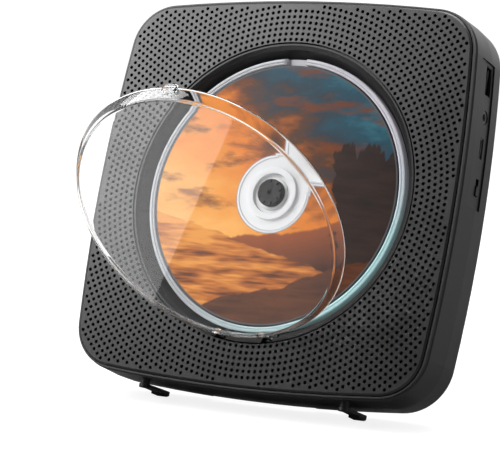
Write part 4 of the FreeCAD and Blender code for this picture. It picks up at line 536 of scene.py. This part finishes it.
# bare white middle with a painted shade line over the stacking ring's groove and a grey line along the
# print's inner edge, and the dark band outside the print
hub_zone_and_ring_shade = colours_along(print_tree, reach, (
    (0.0, (0.76, 0.76, 0.77)), (0.277, (0.76, 0.76, 0.77)), (0.281, (0.38, 0.38, 0.41)),
    (0.286, (0.77, 0.77, 0.78)), (0.297, (0.74, 0.74, 0.76)), (0.301, (0.28, 0.28, 0.32))))
printed = blend(print_tree, above(print_tree, reach, PRINT_START, EDGE_SOFT), hub_zone_and_ring_shade, scene_colour)
printed = blend(print_tree, above(print_tree, reach, PRINT_END, EDGE_SOFT), printed, (0.1, 0.1, 0.11))
print_tree.links.new(printed, print_shader.inputs["Base Color"])
disc_angle = np.arange(DISC_STEPS) * 2 * math.pi / DISC_STEPS
disc_points = turned(rounded(DISC_PROFILE, DISC_ROUNDS, 4), disc_angle)
disc_rows = rows_of(disc_points)
disc_faces = strip(disc_rows, np.roll(disc_rows, -1, 0))
disc_places = stand(disc_points.reshape(-1, 3))
disc = new_piece("printed_disc", disc_places, disc_faces, print_finish, "turntable", True)
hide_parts("disc")

# Keys: five charcoal caps along the top, each with a raised white sign pressed into it.
KEY_MIDDLE, KEY_TOP, KEY_BOW, KEY_STEP, SIGN_ROOT, SIGN_RISE = 21.4, 92.1, 1565.0, 16.0, 0.05, 0.15
paint(charcoal, "key_mode", "key_previous", "key_play", "key_next", "key_volume")
sign_white = moulded("white_key_sign", (0.7, 0.7, 0.7), 0.5, spread=0.05)


def sign(name, key, shapes):
    """A raised sign on a key: flat outlines, in millimetres from the key's middle, carried straight up."""
    place = (("key_mode", "key_previous", "key_play", "key_next", "key_volume").index(key) - 2) * KEY_STEP
    top = KEY_TOP - place ** 2 / KEY_BOW
    points, faces, count = [], [], 0
    for shape in shapes:
        flat = np.array(shape, float)
        for level in (top - SIGN_ROOT, top + SIGN_RISE):
            level_row = np.full(len(flat), level)
            points.append(np.stack([place + flat[:, 0], KEY_MIDDLE + flat[:, 1], level_row], 1))
        low = count + np.arange(len(flat))
        high = low + len(flat)
        faces += [low[::-1], high] + list(strip(low, high)[:, ::-1])
        count += 2 * len(flat)
    piece = new_piece(name, stand(np.concatenate(points)), faces, sign_white, key)


TRIANGLE = np.array([(-1.2, -1.4), (1.2, 0.0), (-1.2, 1.4)])
BAR = np.array([(1.4, -1.4), (1.9, -1.4), (1.9, 1.4), (1.4, 1.4)])
PLUS_ACROSS = np.array([(-1.5, -0.25), (1.5, -0.25), (1.5, 0.25), (-1.5, 0.25)])
PLUS_ARM = PLUS_ACROSS[:, ::-1] * (1, -0.42)
PLUS_UPPER, PLUS_LOWER = PLUS_ARM + (0, 0.87), PLUS_ARM + (0, -0.87)
sign("sign_play", "key_play", [TRIANGLE])
sign("sign_next", "key_next", [TRIANGLE, BAR])
sign("sign_previous", "key_previous", [TRIANGLE[::-1] * (-1, 1), BAR[::-1] * (-1, 1)])
sign("sign_mode", "key_mode", [circle_of(1.3, 20)])
sign("sign_volume", "key_volume", [PLUS_ACROSS, PLUS_UPPER, PLUS_LOWER])

# Ports: a grey jack, a black switch knob, and folded steel socket shells on the main board's edge.
steel = moulded("bright_steel", (0.55, 0.55, 0.55), 0.3, grain=900.0, depth=0.000004, Metallic=1.0)
dark_steel = moulded("blackened_steel", (0.03, 0.03, 0.03), 0.4, grain=900.0, depth=0.000004, Metallic=0.8)
jack_grey = moulded("grey_jack_moulding", (0.14, 0.14, 0.14), 0.4)
paint(jack_grey, "headphone_jack")
paint(black, "power_switch_knob")
paint(steel, "charge_socket")
paint(dark_steel, "usb_socket", "power_switch_body")

# Steel: bright pins, rods, shafts, motors and screws, and blackened screws, speaker frames and magnets.
paint(steel, "lid_hinge_pins", "spindle_shaft", "spindle_motor", "guide_rods", "chassis_screws")
paint(steel, "lead_screw", "sled_motor", "board_screws", "key_board_screws", "kickstand_pin")
paint(dark_steel, "cover_screws", "speaker_frame_left", "speaker_frame_right", "speaker_screws")
paint(dark_steel, "foot_pivot_screws", "speaker_magnet_left", "speaker_magnet_right")

# Rubber: dampers of the mechanism, and the pads of the feet and the kickstand.
rubber = moulded("soft_black_rubber", (0.014, 0.014, 0.014), 0.75, grain=1500.0, depth=0.00004)
paint(rubber, "damper_bushes", "foot_pad_left", "foot_pad_right", "kickstand_pad")

# Inside: paper cones, green boards, the wrapped battery pack and the coated lens of the pickup.
paper = moulded("pressed_black_paper", (0.02, 0.02, 0.02), 0.85, grain=1800.0, depth=0.00006)
paint(paper, "speaker_cone_left", "speaker_cone_right")
board = moulded("green_board", (0.012, 0.09, 0.04), 0.4)
paint(board, "main_board", "key_board")
wrap = moulded("blue_shrink_wrap", (0.03, 0.08, 0.22), 0.35, grain=300.0, depth=0.00008)
paint(wrap, "battery_pack")
lens = moulded("coated_lens", (0.08, 0.12, 0.2), 0.08, grain=300.0, depth=0.000002)
paint(lens, "pickup_lens")

# Studio: a white floor that glows to the eye, a soft box at the upper left whose mirror image grades the
# face, a low panel that veils the clear lid, a sky that is bright behind and dim before the player, and a
# camera where the picture was taken. Colours are shown as they are, with no film curve.
EYE = (410.0, -750.3, -182.4)
RIGHT, OVER = (0.87988, 0.44288, 0.17225), (-0.05933, -0.25726, 0.96452)
FOCAL, SENSOR = 1962.5, 36.0
WIDTH, HEIGHT, AXIS_ACROSS, AXIS_DOWN = 500.0, 451.0, 262.76, 206.56
FLOOR_HALF, FLOOR_GLOW = 4.0, 0.85
SKY_BEFORE, SKY_BEHIND = (-0.45, 0.08), (0.5, 1.1)
KEY_AT, KEY_SIZE, KEY_POWER = (-640, -640, 440), (0.6, 0.7), 11.5
TOP_AT, TOP_SIZE, TOP_POWER = (100, 200, 1100), (0.8, 0.5), 6.0
PANEL_AT, PANEL_TURN = (-0.178, -0.160, 0.002), (math.pi, 0.0, math.radians(6.1))
PANEL_SIZE, PANEL_POWER = (0.24, 0.23), 0.22
camera_data = bpy.data.cameras.new("camera")
camera_data.sensor_width = SENSOR
camera_data.sensor_fit = "HORIZONTAL"
camera_data.lens = FOCAL * SENSOR / WIDTH
camera_data.shift_x = (WIDTH / 2 - AXIS_ACROSS) / WIDTH
camera_data.shift_y = (AXIS_DOWN - HEIGHT / 2) / WIDTH
camera_data.clip_start = 0.01
camera = bpy.data.objects.new("camera", camera_data)
bpy.context.scene.collection.objects.link(camera)
eye = Vector(stand(EYE))
right = Vector(stand(RIGHT) - stand((0, 0, 0))).normalized()
over = Vector(stand(OVER) - stand((0, 0, 0)))
over = (over - right * over.dot(right)).normalized()
turn = Matrix((right, over, right.cross(over))).transposed().to_4x4()
camera.matrix_world = Matrix.Translation(eye) @ turn
bpy.context.scene.camera = camera

floor_mesh = bpy.data.meshes.new("floor")
floor_corners = [(-1, -1), (1, -1), (1, 1), (-1, 1)]
floor_mesh.from_pydata([(FLOOR_HALF * x, FLOOR_HALF * y, 0) for x, y in floor_corners], [], [(0, 1, 2, 3)])
floor = bpy.data.objects.new("floor", floor_mesh)
floor_finish, floor_tree, floor_shader = new_finish(
    "white_floor", (0.3, 0.3, 0.3), 0.8, Specular_IOR_Level=0.0, Emission_Color=(1.0, 1.0, 1.0, 1.0))
floor_sight = floor_tree.nodes.new("ShaderNodeLightPath")
floor_straight = calc(floor_tree, "LESS_THAN", floor_sight.outputs["Glossy Depth"], 0.5)
floor_through = calc(floor_tree, "MULTIPLY", floor_sight.outputs["Is Transmission Ray"], floor_straight)
floor_seen = calc(floor_tree, "ADD", floor_sight.outputs["Is Camera Ray"], floor_through)
floor_glow = level_between(floor_tree, floor_seen, 0.0, FLOOR_GLOW, 0.0, 1.0)
floor_tree.links.new(floor_glow, floor_shader.inputs["Emission Strength"])
floor_mesh.materials.append(floor_finish)
bpy.context.scene.collection.objects.link(floor)

world = bpy.data.worlds.new("studio")
world.use_nodes = True
sky_tree = world.node_tree
sky_way = sky_tree.nodes.new("ShaderNodeTexCoord")
sky_split = sky_tree.nodes.new("ShaderNodeSeparateXYZ")
sky_tree.links.new(sky_way.outputs["Generated"], sky_split.inputs["Vector"])
sky_glow = level_between(sky_tree, sky_split.outputs["Y"], SKY_BEFORE[1], SKY_BEHIND[1],
                         SKY_BEFORE[0], SKY_BEHIND[0])
sky_tree.nodes["Background"].inputs["Color"].default_value = (1.0, 1.0, 1.0, 1.0)
sky_tree.links.new(sky_glow, sky_tree.nodes["Background"].inputs["Strength"])
bpy.context.scene.world = world
bpy.context.scene.view_settings.view_transform = "Standard"


def soft_light(name, place, turn, size, power):
    """A soft box: an area light at a place over the desk, turned from facing straight down."""
    lamp = bpy.data.lights.new(name, "AREA")
    lamp.shape = "RECTANGLE"
    lamp.size, lamp.size_y = size
    lamp.energy = power
    holder = bpy.data.objects.new(name, lamp)
    holder.location = place
    holder.rotation_euler = turn
    holder.visible_camera = False
    bpy.context.scene.collection.objects.link(holder)


def facing_disc(place):
    """The turn of a lamp at a place that makes it shine at the middle of the disc."""
    return Vector(face_centre - place).to_track_quat("-Z", "Y").to_euler()


key_place, top_place = stand(KEY_AT), stand(TOP_AT)
soft_light("key_light", key_place, facing_disc(key_place), KEY_SIZE, KEY_POWER)
soft_light("top_light", top_place, facing_disc(top_place), TOP_SIZE, TOP_POWER)
soft_light("lid_light", PANEL_AT, PANEL_TURN, PANEL_SIZE, PANEL_POWER)
